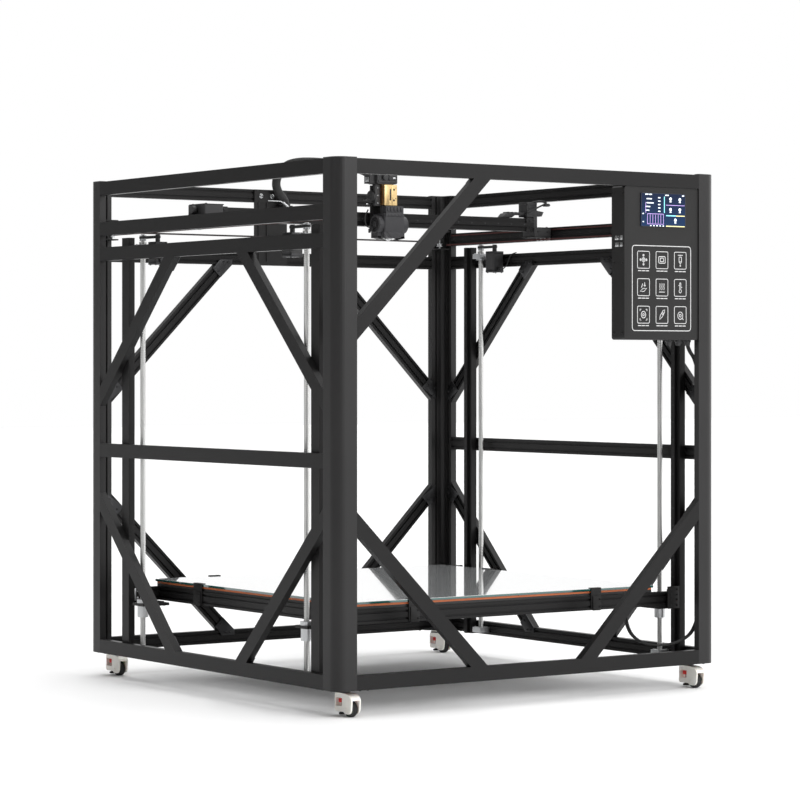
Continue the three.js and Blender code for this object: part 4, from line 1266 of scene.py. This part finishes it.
def make_display():
    low, high = box("display")
    face = low.y
    width, height = high.x - low.x, high.z - low.z

    def at(u, v):
        return low.x + u * width, low.z + v * height

    def bars(name, finish, rows, thick):
        shape = Shape()
        for (u, v), (s, t) in rows:
            ribbon(shape, [at(u, v), at(s, t)], thick, face, depth=0.12)
        shape.piece(name, finish, "frame", "screen")

    white = [((0.09, 0.95), (0.16, 0.95)), ((0.18, 0.95), (0.24, 0.95)), ((0.54, 0.94), (0.62, 0.94))]
    white += [((0.92, 0.94), (0.97, 0.94)), ((0.12, 0.82), (0.24, 0.82)), ((0.12, 0.7), (0.28, 0.7))]
    white += [((0.1, 0.59), (0.2, 0.59)), ((0.1, 0.48), (0.18, 0.48))]
    white += [((0.38, 0.86 - 0.1 * k), (0.43, 0.86 - 0.1 * k)) for k in range(5)]
    white += [((0.03, 0.38), (0.06, 0.38)), ((0.03, 0.14), (0.06, 0.14))]
    white += [((0.2 + 0.07 * k, 0.03), (0.23 + 0.07 * k, 0.03)) for k in range(5)]
    bars("screen_marks", "lit_white", white, 3.0)
    bars("screen_cyan_lines", "lit_cyan", [((0.52, 0.42), (0.52, 0.9)), ((0.56, 0.34), (0.78, 0.34))], 2.6)
    purple = [((0.56, 0.65), (0.98, 0.65)), ((0.1, 0.4), (0.1, 0.72)), ((0.14, 0.38), (0.5, 0.38))]
    purple += [((0.14, 0.08), (0.5, 0.08)), ((0.14, 0.08), (0.14, 0.38)), ((0.5, 0.08), (0.5, 0.38))]
    purple += [((0.2 + 0.06 * k, 0.1), (0.2 + 0.06 * k, 0.36)) for k in range(5)]
    bars("screen_purple_lines", "lit_purple", purple, 1.3)
    bars("screen_yellow_lines", "lit_yellow", [((0.78, 0.34), (0.98, 0.34)), ((0.56, 0.03), (0.98, 0.03))], 2.4)
    icons = Shape()
    for u, v in ((0.66, 0.81), (0.87, 0.8), (0.66, 0.5), (0.87, 0.5), (0.77, 0.19)):
        x, z = at(u, v)
        icons.lathe([(0, 0), (4.6, 0), (4.6, 0.12), (0, 0.12)], (x, face - 0.12, z + 2.4), "y", 16)
        icons.prism([(x - 1.6, z - 2), (x + 1.6, z - 2), (x + 4, z - 6.6), (x - 4, z - 6.6)], face - 0.12, face, "xz")
    icons.piece("screen_icons", "lit_white", "frame", "screen")
    rim = Shape()
    ribbon(rim, rounded(low.x + 0.8, low.z + 0.8, high.x - 0.8, high.z - 0.8, 3.4, 3), 1.4, face, True, 0.14)
    rim.piece("screen_rim", "plastic", "frame", "black_plastic")


# ---- Casters ----
def make_casters():
    for name, _, _ in CORNERS:
        low, high = box(f"caster_wheel_{name}")
        x, y, z = (low + high) / 2
        half, radius = (high.x - low.x) / 2, (high.z - low.z) / 2
        tyre = Shape()
        profile = [(13, -half + 1), (radius - 3, -half), (radius - 1, -half + 1.2), (radius - 0.2, -half + 3.2)]
        ribs = 3
        for rib in range(ribs):
            left = -half + 3.4 + rib * (2 * half - 6.8) / ribs
            right = left + (2 * half - 6.8) / ribs
            profile += [(radius, left + 0.6), (radius, right - 0.9)]
            profile += [(radius - 1.2, right - 0.5), (radius - 1.2, right)]
        profile += [(radius - 0.2, half - 3.2), (radius - 1, half - 1.2), (radius - 3, half), (13, half - 1)]
        tyre.lathe(profile, (x, y, z), "x", 40)
        wheel = tyre.piece(f"caster_tyre_{name}", "rubber", f"wheel_{name}", "wheel_rubber")
        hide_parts(f"caster_wheel_{name}")
        hub = Shape()
        rim = [(0, -half), (5, -half), (6, -half + 2), (13.2, -half + 2)]
        hub.lathe(rim + [(r, -h) for r, h in reversed(rim)], (x, y, z), "x", 28)
        hub.piece(f"caster_hub_{name}", "plastic", f"wheel_{name}", "wheel_rubber")
        axle = Shape()
        house_low, house_high = box(f"caster_housing_{name}")
        for face, sense in ((house_low.x, -1), (house_high.x, 1)):
            axle.screw((face, y, z), (sense, 0, 0), 3.4, 0.8)
        axle.piece(f"caster_axle_ends_{name}", "cream", f"caster_{name}", "caster_cream")

        low, high = box(f"caster_foot_{name}")
        fx, fy = (low.x + high.x) / 2, (low.y + high.y) / 2
        grip = Shape()
        outline = []
        notches = 18
        for notch in range(notches):
            for step, reach in ((0, 12.4), (0.5, 12.4), (0.62, 11.4), (0.88, 11.4)):
                angle = 2 * math.pi * (notch + step) / notches
                outline.append((fx + reach * math.cos(angle), fy + reach * math.sin(angle)))
        grip.prism(outline, low.z + 32.2, low.z + 42.3, "xy", 0.4)
        foot = grip.piece(f"foot_thumbwheel_{name}", "red", f"foot_{name}", "foot_red")
        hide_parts(f"caster_foot_{name}")
        pad = Shape()
        pad.lathe([(0, 0), (11.4, 0), (12, 0.8), (12, 4), (10.6, 5), (7, 6.6), (0, 6.6)], (fx, fy, low.z), "z", 32)
        pad.piece(f"foot_pad_{name}", "rubber", f"foot_{name}", "wheel_rubber")
        stem = Shape()
        threaded_rod(stem, fx, fy, low.z + 6.4, high.z, 6, 5.3, 2.5)
        stem.piece(f"foot_stem_{name}", "steel", f"foot_{name}", "screw_steel")
        ring = [(17.2, 0), (19.5, 0), (19.5, 2.2), (17.2, 3)]
        top = Shape().lathe(ring, (fx, fy + 2, house_high.z - 7.4), "z", 28)
        top.piece(f"caster_swivel_ring_{name}", "dark_steel", f"caster_{name}", "screw_steel")


# ---- Finishes of the CAD nodes ----
NODE_FINISH = {
    "corner_post": "post", "top_beam": "anodised", "upper_beam": "anodised", "mid_beam": "anodised",
    "y_rail": "anodised", "z_guide": "anodised", "x_beam": "anodised", "base_beam_front": "anodised",
    "base_beam_rear": "anodised", "base_beam": "beam_bearings", "z_motor": "motor",
    "bed_glass": "glass", "bed_heater": "heater", "bed_frame": "bed_frame", "truck": "plastic",
    "head_carriage": "sheet", "fan_shroud": "shroud", "heat_sink": "gold", "extruder": "plastic",
    "nozzle": "brass", "control_box": "sheet", "display": "screen", "rear_plate": "sheet",
    "caster_housing": "cream",
}
EDGE = {"bed_glass": 0.5, "caster_housing": 1.2, "fan_shroud": 1.0, "control_box": 0.8, "heat_sink": 0.3}


def finish_nodes():
    for name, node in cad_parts.items():
        keys = [key for key in NODE_FINISH if name.startswith(key)]
        if not keys:
            continue
        key = max(keys, key=len)
        node.data.materials.clear()
        node.data.materials.append(FINISHES[NODE_FINISH[key]].material)
        bevel = node.modifiers.new("edges", "BEVEL")
        bevel.width = EDGE.get(key, 0.5) * MM
        bevel.segments = 2
        bevel.limit_method = "ANGLE"
        bevel.angle_limit = math.radians(40)
        bevel.harden_normals = False


def make_floor():
    data = bpy.data.meshes.new("floor")
    size = 30
    data.from_pydata([(-size, -size, 0), (size, -size, 0), (size, size, 0), (-size, size, 0)], [], [(0, 1, 2, 3)])
    floor = bpy.data.objects.new("floor", data)
    bpy.context.scene.collection.objects.link(floor)
    finish = Finish("studio_floor", (0.92, 0.92, 0.92), 0.7)
    finish.set("Base Color", finish.mix(finish.noise(2), (0.9, 0.9, 0.9), (0.93, 0.93, 0.93)))
    data.materials.append(finish.material)


make_camera()
make_harness()
make_bed_cable()
make_studio()
make_floor()
finish_nodes()
make_corner_fittings()
make_brace_tabs()
make_rear_plate()
make_rail_screws()
make_lift_drive()
make_bed_fittings()
make_gantry_fittings()
make_belts()
make_head()
make_control_box()
make_display()
make_casters()
